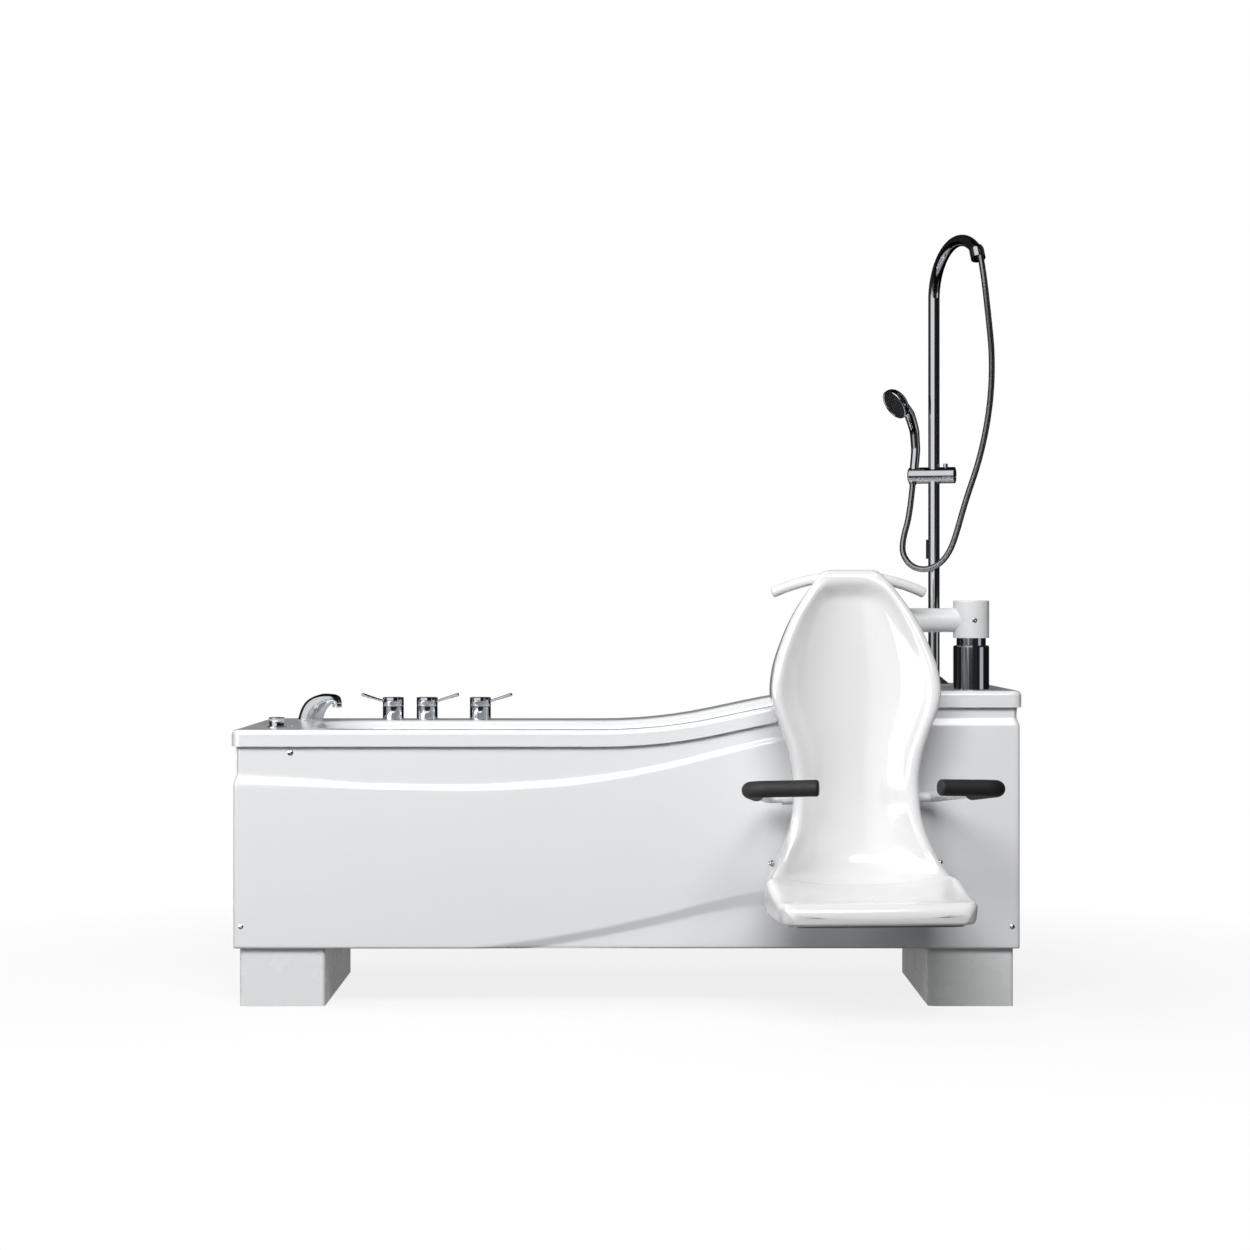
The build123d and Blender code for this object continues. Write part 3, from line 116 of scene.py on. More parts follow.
def bevel(value: float, corner: float = 0.15) -> float:
    """Run from 0 to 1 on a straight slope with rounded corners."""
    value = min(max(value, 0.0), 1.0)
    slope = 1 / (1 - corner)
    if value < corner:
        return slope * value * value / (2 * corner)
    if value > 1 - corner:
        return 1 - slope * (1 - value) ** 2 / (2 * corner)
    return slope * (value - corner / 2)


def curve_through(knots: Sequence[Flat]) -> Callable[[float], float]:
    """Make a smooth function through some knots, level past both ends.

    Args:
        knots: pairs of place and value, in rising order of place.

    Returns:
        Function of one place, with no overshoot between knots.
    """
    xs = [k[0] for k in knots]
    ys = [k[1] for k in knots]
    slopes = [(b - a) / (d - c) for a, b, c, d in zip(ys, ys[1:], xs, xs[1:])]
    ends = [slopes[0]]
    for left, right in zip(slopes, slopes[1:]):
        ends.append(0.0 if left * right <= 0 else 2 * left * right / (left + right))
    ends.append(slopes[-1])

    def value(x: float) -> float:
        """Read the curve at x."""
        if x <= xs[0]:
            return ys[0]
        if x >= xs[-1]:
            return ys[-1]
        i = bisect_right(xs, x) - 1
        wide = xs[i + 1] - xs[i]
        t = (x - xs[i]) / wide
        return ((1 + 2 * t) * (1 - t) ** 2 * ys[i] + t * (1 - t) ** 2 * wide * ends[i]
                + t * t * (3 - 2 * t) * ys[i + 1] + t * t * (t - 1) * wide * ends[i + 1])

    return value


def make_piece(name: str, points: Sequence[Point], faces: Sequence[Sequence[int]],
               place: Matrix | None = None) -> bpy.types.Object:
    """Make a smooth-shaded mesh object.

    Args:
        name: object name.
        points: vertex places.
        faces: vertex numbers of each face.
        place: transform that is applied to the points.

    Returns:
        The linked object, with outward normals.
    """
    mesh = bpy.data.meshes.new(name)
    moved = [tuple(place @ Vector(p)) for p in points] if place else [tuple(p) for p in points]
    mesh.from_pydata(moved, [], [list(f) for f in faces])
    mesh.validate()
    obj = bpy.data.objects.new(name, mesh)
    bpy.context.scene.collection.objects.link(obj)
    bpy.context.view_layer.objects.active = obj
    for other in bpy.context.selected_objects:
        other.select_set(False)
    obj.select_set(True)
    bpy.ops.object.mode_set(mode="EDIT")
    bpy.ops.mesh.select_all(action="SELECT")
    bpy.ops.mesh.remove_doubles(threshold=1e-6)
    bpy.ops.mesh.normals_make_consistent(inside=False)
    bpy.ops.object.mode_set(mode="OBJECT")
    mesh.shade_smooth()
    return obj


def ring_faces(rows: int, around: int, closed: bool = True) -> list[tuple[int, ...]]:
    """Quads between rows of points.

    Args:
        rows: number of rows.
        around: points in each row.
        closed: whether a row's last point joins its first.

    Returns:
        Vertex numbers of each quad.
    """
    steps = around if closed else around - 1
    return [(r * around + i, r * around + (i + 1) % around, (r + 1) * around + (i + 1) % around,
             (r + 1) * around + i) for r in range(rows - 1) for i in range(steps)]


def lathe(name: str, profile: Sequence[Flat], place: Matrix, around: int = 64,
          ripple: Callable[[float, float, float], float] | None = None) -> bpy.types.Object:
    """Turn a profile round the local Z axis.

    Args:
        name: object name.
        profile: pairs of radius and height, from one end to the other.
        place: where the local frame goes.
        around: points round the axis.
        ripple: optional change of a point's radius from its radius, height and angle.

    Returns:
        The closed piece.
    """
    points: list[Point] = []
    for radius, high in profile:
        for i in range(around):
            angle = 2 * pi * i / around
            reach = ripple(radius, high, angle) if ripple else radius
            points.append((reach * cos(angle), reach * sin(angle), high))
    faces = ring_faces(len(profile), around)
    for end in (0, len(profile) - 1):
        if profile[end][0] > 1e-6:
            faces.append(tuple(end * around + i for i in range(around)))
    return make_piece(name, points, faces, place)


def tube(name: str, line: Sequence[Vector], radii: Sequence[float], around: int = 32) -> bpy.types.Object:
    """Sweep a round section of changing radius along a line.

    Args:
        name: object name.
        line: centre points, close together.
        radii: radius at each centre point.
        around: points round the section.

    Returns:
        The closed tube.
    """
    line = [Vector(p) for p in line]
    turned = Vector((0, 0, 1)) if abs((line[1] - line[0]).normalized().z) < 0.9 else Vector((1, 0, 0))
    points: list[Point] = []
    for i, centre in enumerate(line):
        ahead = (line[min(i + 1, len(line) - 1)] - line[max(i - 1, 0)]).normalized()
        turned = (turned - ahead * turned.dot(ahead)).normalized()
        other = ahead.cross(turned)
        for k in range(around):
            angle = 2 * pi * k / around
            points.append(tuple(centre + (turned * cos(angle) + other * sin(angle)) * radii[i]))
    faces = ring_faces(len(line), around)
    faces += [tuple(range(around)), tuple(range(len(points) - around, len(points)))]
    return make_piece(name, points, faces)


def rounded_line(corners: Sequence[Point], radii: Sequence[float], steps: int = 14) -> list[Vector]:
    """Straight runs with an arc at each inner corner.

    Args:
        corners: end points and corners.
        radii: radius at each inner corner.
        steps: points on each arc.

    Returns:
        Points along the line.
    """
    spots = [Vector(c) for c in corners]
    line = [spots[0]]
    for before, corner, after, radius in zip(spots, spots[1:], spots[2:], radii):
        back = (before - corner).normalized()
        ahead = (after - corner).normalized()
        half = back.angle(ahead) / 2
        cut = radius / tan(half)
        centre = corner + (back + ahead).normalized() * radius / sin(half)
        first, last = corner + back * cut - centre, corner + ahead * cut - centre
        for k in range(steps + 1):
            line.append(centre + first.normalized().slerp(last.normalized(), k / steps) * radius)
    line.append(spots[-1])
    return line


def spread(line: Sequence[Vector], gap: float) -> list[Vector]:
    """Put points at even distances along a line.

    Args:
        line: points of the line.
        gap: distance between the new points.

    Returns:
        The new points, both ends kept.
    """
    along = [0.0]
    for a, b in zip(line, line[1:]):
        along.append(along[-1] + (b - a).length)
    count = max(2, round(along[-1] / gap))
    out = []
    i = 0
    for k in range(count + 1):
        want = along[-1] * k / count
        while i < len(along) - 2 and along[i + 1] < want:
            i += 1
        run = along[i + 1] - along[i]
        out.append(line[i].lerp(line[i + 1], (want - along[i]) / run if run else 0.0))
    return out


def round_ends(line: Sequence[Vector], radius: float, edge: float) -> tuple[list[Vector], list[float]]:
    """Radii of a bar whose two ends are rounded over.

    Args:
        line: evenly spread centre points.
        radius: radius of the bar.
        edge: radius of the rounding at the ends.

    Returns:
        Centre points with extra rows at the ends, and the radius at each.
    """
    first, last = (line[1] - line[0]).normalized(), (line[-2] - line[-1]).normalized()
    inside = [p for p in line if (p - line[0]).length > edge and (p - line[-1]).length > edge]
    angles = [radians(a) for a in (0, 15, 35, 60, 90)]
    start = [(line[0] + first * edge * (1 - cos(a)), radius - edge * (1 - sin(a))) for a in angles]
    end = [(line[-1] + last * edge * (1 - cos(a)), radius - edge * (1 - sin(a))) for a in reversed(angles)]
    rows = start + [(p, radius) for p in inside] + end
    return [r[0] for r in rows], [r[1] for r in rows]


def facing(centre: Point, axis: Point) -> Matrix:
    """Frame at a point whose local Z runs along an axis."""
    return Matrix.Translation(Vector(centre)) @ Vector(axis).to_track_quat("Z", "Y").to_matrix().to_4x4()


def finish_nodes(finish: "Finish", *nodes: str) -> None:
    """Give one finish to some of the frame's own nodes."""
    material = finish.material()
    for node in nodes:
        obj = frame["nodes"][node]
        for place in range(len(obj.material_slots)):
            obj.material_slots[place].material = material
        log.info("dressed %s with %s", node, finish.name)


def settle(obj: bpy.types.Object, finish: "Finish", body: str, slot: str, *nodes: str) -> bpy.types.Object:
    """Give a new piece its finish, its body and the nodes that it stands for.

    Args:
        obj: the piece.
        finish: its finish.
        body: CAD body that it rides on.
        slot: material slot of the record; not used.
        nodes: CAD nodes that it replaces.

    Returns:
        The same piece.
    """
    obj.data.materials.clear()
    obj.data.materials.append(finish.material())
    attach(obj, body)
    if nodes:
        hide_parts(*nodes)
    log.info("made %s on %s", obj.name, body)
    return obj


# Finishes

class Grain(Enum):
    """Fine relief that the making of a surface leaves, as its Blender texture and stretch."""

    PEEL = ("ShaderNodeTexNoise", (1.0, 1.0, 1.0))
    BRUSHED = ("ShaderNodeTexNoise", (0.04, 1.0, 1.0))
    CELLS = ("ShaderNodeTexVoronoi", (1.0, 1.0, 1.0))


@dataclass(frozen=True)
class Finish:
    """One real material with the way its surface was made."""

    name: str
    colour: str
    shade: str
    roughness: tuple[float, float]
    metallic: float = 0.0
    ior: float = 1.5
    coat: float = 0.0
    grain: Grain = Grain.PEEL
    grain_mm: float = 6.0
    grain_depth_mm: float = 0.01
    patch_mm: float = 120.0

    def material(self) -> bpy.types.Material:
        """Build the node material once and hand it out after that."""
        found = bpy.data.materials.get(self.name)
        return found if found else self.build()

    def build(self) -> bpy.types.Material:
        """Build the node material.

        Returns:
            Material with patchy colour and roughness and a fine relief at its real scale.
        """
        material = bpy.data.materials.new(self.name)
        material.use_nodes = True
        tree = material.node_tree
        tree.nodes.clear()
        place = add_node(tree, "ShaderNodeTexCoord").outputs["Object"]
        patches = add_node(tree, "ShaderNodeTexNoise", {
            "Scale": 1 / (self.patch_mm * MM), "Detail": 3.0, "Roughness": 0.55}, {"Vector": place})
        colour = add_node(tree, "ShaderNodeMix", {
            "data_type": "RGBA", 6: linear(self.colour), 7: linear(self.shade)},
            {0: patches.outputs[0]})
        rough = add_node(tree, "ShaderNodeMapRange", {
            "To Min": self.roughness[0], "To Max": self.roughness[1]}, {"Value": patches.outputs[0]})
        kind, stretch = self.grain.value
        stretched = add_node(tree, "ShaderNodeMapping", {"Scale": stretch}, {"Vector": place})
        relief = add_node(tree, kind, {"Scale": 1 / (self.grain_mm * MM)}, {"Vector": stretched.outputs[0]})
        bump = add_node(tree, "ShaderNodeBump", {
            "Strength": 0.6, "Distance": self.grain_depth_mm * MM}, {"Height": relief.outputs[0]})
        settings = {"Metallic": self.metallic, "Coat Weight": self.coat, "Coat Roughness": 0.04}
        if not self.metallic:
            settings["IOR"] = self.ior
        shader = add_node(tree, "ShaderNodeBsdfPrincipled", settings, {
            "Base Color": colour.outputs[2], "Roughness": rough.outputs[0], "Normal": bump.outputs[0]})
        add_node(tree, "ShaderNodeOutputMaterial", None, {"Surface": shader.outputs[0]})
        return material


# Cast acrylic sheet, vacuum formed: glassy and very even, with long soft waves in its gloss
ACRYLIC = Finish("acrylic_cast_vacuum_formed", "#F1F2F3", "#EDEEF0", (0.10, 0.16), ior=1.49,
                 grain_mm=40, grain_depth_mm=0.02, patch_mm=400)
# Glass-fibre laminate with a gel coat from a polished mould: glossy with a fine ripple
GEL_COAT = Finish("glass_fibre_gel_coat_moulded", "#EFEFF0", "#EBEBEC", (0.07, 0.13), ior=1.52, coat=0.3,
                  grain_mm=30, grain_depth_mm=0.02, patch_mm=250)
# Powder-coated steel: a satin gloss with the orange peel that the melted powder leaves
POWDER_COAT = Finish("steel_powder_coated", "#EDEEEF", "#E8E9EA", (0.22, 0.32), grain_mm=2.5,
                     grain_depth_mm=0.03, patch_mm=90)
# Chrome plate on polished brass: a mirror with faint polishing haze
CHROME = Finish("brass_chrome_plated_polished", "#D8DADD", "#CDCFD3", (0.015, 0.04), metallic=1.0,
                grain_mm=18, grain_depth_mm=0.002, patch_mm=30)
# Chrome on the turned seat post: the same plate with a little more haze from sliding in its bushes
POST_CHROME = Finish("steel_hard_chromed_ground", "#C9CBCF", "#BDBFC4", (0.05, 0.09), metallic=1.0,
                     grain_mm=20, grain_depth_mm=0.003, patch_mm=60)
# Zinc-plated folded steel: dull and slightly spangled
ZINC = Finish("steel_zinc_plated", "#A9ACAE", "#96999B", (0.34, 0.48), metallic=1.0, grain_mm=3,
              grain_depth_mm=0.01, patch_mm=14)
# Stainless screws: turned and brushed
STAINLESS = Finish("stainless_steel_turned", "#B4B6B8", "#9EA1A4", (0.16, 0.26), metallic=1.0,
                   grain=Grain.BRUSHED, grain_mm=0.4, grain_depth_mm=0.01, patch_mm=5)
# Closed-cell foam sleeve: near black and matt, with an open skin of small cells,
# drawn at 1.6 mm where the real cells of about 0.5 mm would be lost
FOAM = Finish("eva_foam_moulded", "#151516", "#1C1C1E", (0.62, 0.78), grain=Grain.CELLS, grain_mm=1.6,
              grain_depth_mm=0.10, patch_mm=20)
# Nitrile rubber pads under the base plates: matt black
RUBBER = Finish("nitrile_rubber_pressed", "#1C1C1D", "#232324", (0.70, 0.85), grain_mm=1.5,
                grain_depth_mm=0.05, patch_mm=25)
# ABS moulded in a spark-eroded tool: dark with a fine even texture
DARK_ABS = Finish("abs_dark_moulded", "#242527", "#2C2D2F", (0.38, 0.50), grain_mm=0.9,
                  grain_depth_mm=0.02, patch_mm=12)
# Acetal guide rings and sensor lens: light grey and slightly waxy
GREY_ACETAL = Finish("acetal_grey_moulded", "#8F9295", "#989B9E", (0.30, 0.42), grain_mm=1.2,
                     grain_depth_mm=0.02, patch_mm=15)
# Sleeve of the hose: a wound steel band, chromed, with grooves between its turns
HOSE_STEEL = Finish("steel_wound_band_chromed", "#B9BBBF", "#A4A6AA", (0.14, 0.24), metallic=1.0,
                    grain_mm=1.5, grain_depth_mm=0.01, patch_mm=40)


# Pieces

@dataclass
class ReliefPanel:
    """Front skirt panel: a recess under the rim, a crest line and a low wave at the head end."""

    reach: float = 0.945
    step: float = 0.006
    low: float = 0.1405
    skin: float = -0.3880
    edge: float = 0.010
    back: float = -0.3842
    belly: float = 0.0075
    hollow: float = 0.0095
    tuck: float = 0.0245

    def rim(self, x: float) -> float:
        """Height of the rim's top at x."""
        return curve_through((
            (-0.95, 0.666), (-0.06, 0.666), (0.08, 0.6733), (0.22, 0.6957), (0.30, 0.7124), (0.38, 0.7259),
            (0.50, 0.7420), (0.62, 0.7545), (0.75, 0.760), (0.95, 0.760)))(x)

    def crest(self, x: float) -> tuple[float, float]:
        """Upper and lower edge of the slope between the recess and the belly."""
        low = curve_through((
            (-0.95, 0.529), (-0.77, 0.528), (-0.369, 0.5206), (-0.20, 0.526), (-0.062, 0.5425), (0.10, 0.575),
            (0.206, 0.602), (0.365, 0.6395), (0.55, 0.664), (0.75, 0.674), (0.95, 0.674)))(x)
        wide = curve_through((
            (-0.95, 0.037), (-0.78, 0.024), (-0.612, 0.012), (-0.369, 0.014), (-0.20, 0.020), (-0.062, 0.016),
            (0.10, 0.010), (0.365, 0.008), (0.6, 0.012), (0.75, 0.022), (0.95, 0.024)))(x)
        return low + wide, low

    def wave(self, x: float) -> tuple[float, float, float]:
        """Upper edge, height and share of the hollow under the belly at the head end."""
        top = curve_through((
            (-0.42, 0.138), (-0.319, 0.150), (-0.187, 0.169), (-0.055, 0.193), (0.086, 0.2246), (0.206, 0.256),
            (0.324, 0.280), (0.45, 0.288), (0.62, 0.262), (0.74, 0.20), (0.82, 0.138)))(x)
        high = curve_through(((-0.42, 0.022), (-0.05, 0.024), (0.20, 0.030), (0.45, 0.050), (0.82, 0.060)))(x)
        share = smooth_step((x + 0.43) / 0.16) * (1 - smooth_step((x - 0.50) / 0.26))
        return top, high, share

    def relief(self, x: float, z: float) -> float:
        """How far the panel stands out from its skin."""
        upper, lower = self.crest(x)
        depth = self.belly * bevel((upper - z) / (upper - lower), 0.22)
        top, high, share = self.wave(x)
        dip = bevel((top - z) / high, 0.10) * share
        return depth - self.hollow * dip * (1 - 0.35 * smooth_step((top - high - z) / 0.09))

    def rows(self, x: float) -> list[tuple[float, float]]:
        """Heights of the grid's rows at x with the roll at the bottom edge.

        Args:
            x: place along the panel.

        Returns:
            Pairs of height and how far the surface rolls back there.
        """
        top = self.rim(x) - self.tuck
        roll = 0.006
        rows = [(self.low + roll * (1 - cos(a)), roll * (1 - sin(a))) for a in (0.0, 0.35, 0.75, 1.15, pi / 2)]
        start = self.low + roll
        count = 118
        rows += [(start + (top - start) * k / count, 0.0) for k in range(1, count + 1)]
        return rows

    def build(self, finish: Finish) -> bpy.types.Object:
        """Make the panel as one grid with rolled edges and a flat back.

        Args:
            finish: finish of the panel.

        Returns:
            The panel.
        """
        columns: list[tuple[float, float, float]] = []
        angles = [pi / 2 * k / 6 for k in range(7)]
        for a in angles[:-1]:
            columns.append((-self.reach, cos(a), 1 - sin(a)))
        count = 300
        inner = self.reach - self.edge
        columns += [(-inner + 2 * inner * k / count, 0.0, 0.0) for k in range(count + 1)]
        for a in reversed(angles[:-1]):
            columns.append((self.reach, cos(a), 1 - sin(a)))
        points: list[Point] = []
        rows = 0
        for x, out, roll in columns:
            place = x if out == 0.0 else (1 if x > 0 else -1) * inner
            line = self.rows(place)
            rows = len(line)
            for z, sunk in line:
                upper, lower = self.crest(place)
                narrow = self.step * (1 - smooth_step((upper - z) / (upper - lower)))
                side = (1 if x > 0 else -1) * (self.edge * out - narrow * smooth_step(out * 2)) if out else 0.0
                y = self.skin - self.relief(place, z) + sunk + self.edge * roll
                points.append((place + side, min(y, self.back), z))
        faces = ring_faces(len(columns), rows, closed=False)
        border = [c * rows for c in range(len(columns))]
        border += [(len(columns) - 1) * rows + r for r in range(1, rows)]
        border += [c * rows + rows - 1 for c in range(len(columns) - 2, -1, -1)]
        border += [r for r in range(rows - 2, 0, -1)]
        start = len(points)
        points += [(points[i][0], self.back + 0.0002, points[i][2]) for i in border]
        many = len(border)
        faces += [(border[i], border[(i + 1) % many], start + (i + 1) % many, start + i) for i in range(many)]
        faces.append(tuple(range(start, start + many)))
        panel = make_piece("front_relief_panel", points, faces)
        return settle(panel, finish, "bath", "acrylic", "front_panel")


@dataclass
class EndPanel:
    """Skirt panel at one end, with the crest's step carried round the corner."""

    side: int = -1
    face: float = 0.939
    step: float = 0.006
    crest: float = 0.529
    slope: float = 0.037
    rim: float = 0.666
    low: float = 0.1405
    front: float = -0.3836
    back: float = 0.3890
    skin: float = 0.005

    def build(self, finish: Finish, name: str) -> bpy.types.Object:
        """Make the panel as a closed strip.

        Args:
            finish: finish of the panel.
            name: "foot" or "head".

        Returns:
            The panel.
        """
        outer = [(self.step - 0.006 * (1 - sin(a)), self.low + 0.006 * (1 - cos(a)))
                 for a in (0.0, 0.4, 0.8, 1.2, pi / 2)]
        outer += [(self.step, self.crest - 0.02)]
        outer += [(self.step * (1 - smooth_step(k / 12)), self.crest + self.slope * k / 12) for k in range(13)]
        outer += [(0.0, self.rim - 0.025)]
        ring = outer + [(-self.skin, self.rim - 0.025), (-self.skin, self.low)]
        ys = [self.front, self.front + 0.02, (self.front + self.back) / 2, self.back - 0.02, self.back]
        points = [(self.side * (self.face + out), y, z) for y in ys for out, z in ring]
        faces = ring_faces(len(ys), len(ring))
        faces += [tuple(range(len(ring))), tuple(range(len(points) - len(ring), len(points)))]
        panel = make_piece(f"end_relief_panel_{name}", points, faces)
        return settle(panel, finish, "bath", "acrylic", f"end_panel_{name}")


@dataclass
class SeatFrame:
    """Frame of the whole transfer seat, swung out round its post."""

    post: Flat = (0.837, -0.310)
    swing: float = radians(5)
    centre: Flat = (-0.316, -0.183)

    def place(self, x: float = 0.0, y: float = 0.0, z: float = 0.0) -> Matrix:
        """Matrix from the seat's own centre line and back edge to the row's frame."""
        turn = Matrix.Rotation(self.swing, 4, "Z")
        return (Matrix.Translation((self.post[0], self.post[1], 0)) @ turn
                @ Matrix.Translation((self.centre[0] + x, self.centre[1] + y, z)))

    @staticmethod
    def rear(z: float) -> float:
        """Depth of the shell's rear face at a height."""
        return 0.005 + 0.0875 * (z - 0.315)


@dataclass
class SeatShell:
    """Moulded bucket of the seat: an hourglass back with rolled edges that runs into the pan."""

    seat: SeatFrame
    top: float = 1.049
    cap: float = 0.016
    lip: float = 0.030
    lip_high: float = 0.012
    wall: float = 0.007
    under: float = 0.244
    front: float = -0.380
    corner: float = 0.060

    def half(self, z: float) -> float:
        """Half width of the back's outline at a height."""
        return curve_through((
            (0.315, 0.220), (0.345, 0.201), (0.392, 0.179), (0.440, 0.160), (0.494, 0.150), (0.545, 0.1485),
            (0.613, 0.157), (0.667, 0.174), (0.716, 0.193), (0.762, 0.202), (0.813, 0.196), (0.880, 0.174),
            (0.940, 0.146), (1.000, 0.106), (1.025, 0.087), (1.042, 0.070), (1.049, 0.058)))(z)

    def bolster(self, z: float) -> float:
        """How far the side bolsters stand in front of the rear face."""
        return curve_through((
            (0.337, 0.105), (0.42, 0.074), (0.528, 0.062), (0.64, 0.074), (0.762, 0.086), (0.90, 0.066),
            (1.00, 0.044), (1.049, 0.032)))(z)

    def pan_half(self, y: float) -> float:
        """Half width of the pan at a depth, with its cut front corners."""
        wide = 0.2205 + 0.008 * smooth_step((-y - 0.02) / 0.06)
        start = self.front + self.corner
        if y >= start:
            return wide
        share = min((start - y) / self.corner, 0.999)
        return wide - self.corner * (1 - sqrt(1 - share * share)) * 0.9

    def stations(self) -> list[tuple[Flat, Flat, Flat, Flat, float]]:
        """Rows of the loft from the top edge over the back and the pan to the front edge.

        Returns:
            For each row the centre, rim and rear points as depth and height, the half widths at
            rim and rear, and how much of the valley behind the rolled edge is there.
        """
        rows = []
        level = self.top - self.cap
        for share in (1.0, 0.97, 0.87, 0.7, 0.5, 0.25, 0.0):
            z = level + self.cap * share
            mid = SeatFrame.rear(z) - self.cap
            deep = self.cap * sqrt(max(0.0, 1 - share * share))
            wide = (self.half(z), self.half(z))
            rows.append(((mid - deep, z), (mid - deep, z), (mid + deep, z), wide, 0.0))
        steps = 44
        low = 0.400
        for k in range(1, steps + 1):
            z = level + (low - level) * k / steps
            rear = SeatFrame.rear(z)
            rim = rear - self.bolster(z)
            dive = smooth_step((level - z) / 0.050)
            floor = rear - self.wall
            wide = (self.half(z), self.half(z))
            rows.append(((rim + (floor - rim) * dive, z), (rim, z), (rear, z), wide, dive))
        turn = 14
        bend = 0.085
        floor = SeatFrame.rear(low) - self.wall
        for k in range(1, turn + 1):
            a = pi / 2 * k / turn
            centre = (floor - bend + bend * cos(a), low - bend * sin(a) - 0.004 * k / turn)
            share = k / turn
            rim_z = low - (low - 0.335) * smooth_step(share) ** 0.8
            rim_y = SeatFrame.rear(low) - self.bolster(low) - 0.048 * share ** 1.6
            rear_z = low - (low - self.under) * min(1.0, share * 1.25)
            rear_y = SeatFrame.rear(rear_z) - 0.030 * max(0.0, share - 0.75) * 4
            wide = (self.half(max(rim_z - 0.012 * share, 0.315)), self.half(max(rear_z, 0.315)))
            rows.append((centre, (rim_y, rim_z), (rear_y, max(rear_z, self.under)), wide, 1.0 - 0.3 * share))
        begin_y, begin_z = rows[-1][0]
        rim_y, rim_z = rows[-1][1]
        pan = 20
        stop = self.front + 0.034
        for k in range(1, pan + 1):
            share = k / pan
            y = begin_y + (stop - begin_y) * share
            z = begin_z + (0.2950 - begin_z) * share - 0.007 * sin(pi * share)
            ry = rim_y + (stop - rim_y) * share
            rz = rim_z + (0.2955 - rim_z) * (1 - (1 - share) ** 1.5)
            fade = 0.7 * (1 - smooth_step(share * 1.3))
            wide = (self.pan_half(ry), self.pan_half(ry))
            rows.append(((y, z), (ry, rz), (ry, self.under), wide, fade))
        roll = 0.026
        for a in (radians(12 * k) for k in range(1, 8)):
            y = stop - roll * sin(a)
            z = 0.2955 - roll * (1 - cos(a))
            low_z = self.under + 0.006 * (1 - cos(a))
            wide = (self.pan_half(y), self.pan_half(y))
            rows.append(((y, z), (y, z), (y + 0.004 * sin(a), low_z), wide, 0.0))
        y = self.front + 0.0075
        wide = (self.pan_half(y) - 0.004, self.pan_half(y) - 0.004)
        rows.append(((y, 0.262), (y, 0.262), (y + 0.003, 0.252), wide, 0.0))
        return rows

    def ring(self, centre: Flat, rim: Flat, rear: Flat, wide: Flat, valley: float) -> list[Point]:
        """Closed section of the loft.

        Args:
            centre: depth and height of the bowl's middle.
            rim: depth and height of the rolled edge's crest.
            rear: depth and height of the rear or under face.
            wide: half widths of the section at the rim and at the rear.
            valley: share of the valley between the bowl and the rolled edge.

        Returns:
            Points round the section from its middle over the right side and back on the left.
        """
        away = (rear[0] - rim[0], rear[1] - rim[1])
        thick = hypot(*away)
        unit = (away[0] / thick, away[1] / thick) if thick > 1e-6 else (0.0, 0.0)
        half, grows = wide[0], wide[1] - wide[0]
        lip = min(self.lip, half * 0.42)
        high = min(self.lip_high, thick * 0.4)

        def off(distance: float) -> Flat:
            """Point behind the rim's crest."""
            return rim[0] + unit[0] * distance, rim[1] + unit[1] * distance

        side: list[Point] = []
        inner = off(high * 0.55 * valley)
        bowl = 16
        for k in range(bowl):
            u = k / bowl
            share = u ** 2.7
            side.append((u * (half - lip), centre[0] + (inner[0] - centre[0]) * share,
                         centre[1] + (inner[1] - centre[1]) * share))
        for share, drop in ((0.0, 0.55), (0.14, 0.27), (0.30, 0.08), (0.47, 0.0), (0.64, 0.05), (0.80, 0.22),
                            (0.92, 0.50), (0.98, 0.80), (1.0, 1.15)):
            sunk = drop * valley if share < 0.47 else drop
            side.append((half - lip + lip * share, *off(high * sunk)))
        foot = max(thick - 0.010, high * 1.2) if thick > 0.03 else thick * 0.75
        for inset, far in ((0.001, (high * 1.15 + foot) / 2), (0.003, foot),
                           (0.006, foot + (thick - foot) * 0.7), (0.013, thick)):
            share = far / thick if thick > 1e-6 else 1.0
            side.append((half + grows * share - inset, *off(far)))
        for share in (0.8, 0.6, 0.4, 0.2, 0.0):
            side.append(((half + grows - 0.013) * share, *off(thick)))
        mirrored = [(-x, y, z) for x, y, z in reversed(side[1:-1])]
        return side + mirrored

    def build(self, finish: Finish) -> bpy.types.Object:
        """Loft the rows into the closed shell.

        Args:
            finish: finish of the shell.

        Returns:
            The shell.
        """
        rows = [self.ring(*row) for row in self.stations()]
        around = len(rows[0])
        points = [p for row in rows for p in row]
        faces = ring_faces(len(rows), around)
        faces += [tuple(range(around)), tuple(range(len(points) - around, len(points)))]
        shell = make_piece("seat_bucket", points, faces, self.seat.place())
        smoother = shell.modifiers.new("round", "SUBSURF")
        smoother.levels = smoother.render_levels = 1
        return settle(shell, finish, "seat", "moulded_seat", "seat_shell")


@dataclass
class PushHandle:
    """Bowed steel bar behind the top of the shell."""

    seat: SeatFrame
    radius: float = 0.0125
    half: float = 0.184
    end_z: float = 0.994
    middle_z: float = 1.035

    def build(self, finish: Finish) -> bpy.types.Object:
        """Bend the bar along a circle through its ends and middle."""
        y = SeatFrame.rear(self.middle_z) + 0.0125 + 0.0003
        rise = self.middle_z - self.end_z
        radius = (self.half ** 2 + rise ** 2) / (2 * rise)
        reach = 2 * atan(rise / self.half)
        line = []
        for k in range(49):
            a = reach * (2 * k / 48 - 1)
            share = sin(a) * radius / self.half
            line.append(self.seat.place() @ Vector((
                radius * sin(a), y + 0.010 * share * share, self.middle_z - radius * (1 - cos(a)))))
        rows, radii = round_ends(line, self.radius, 0.004)
        return settle(tube("push_bar", rows, radii), finish, "seat", "white_paint", "push_handle")


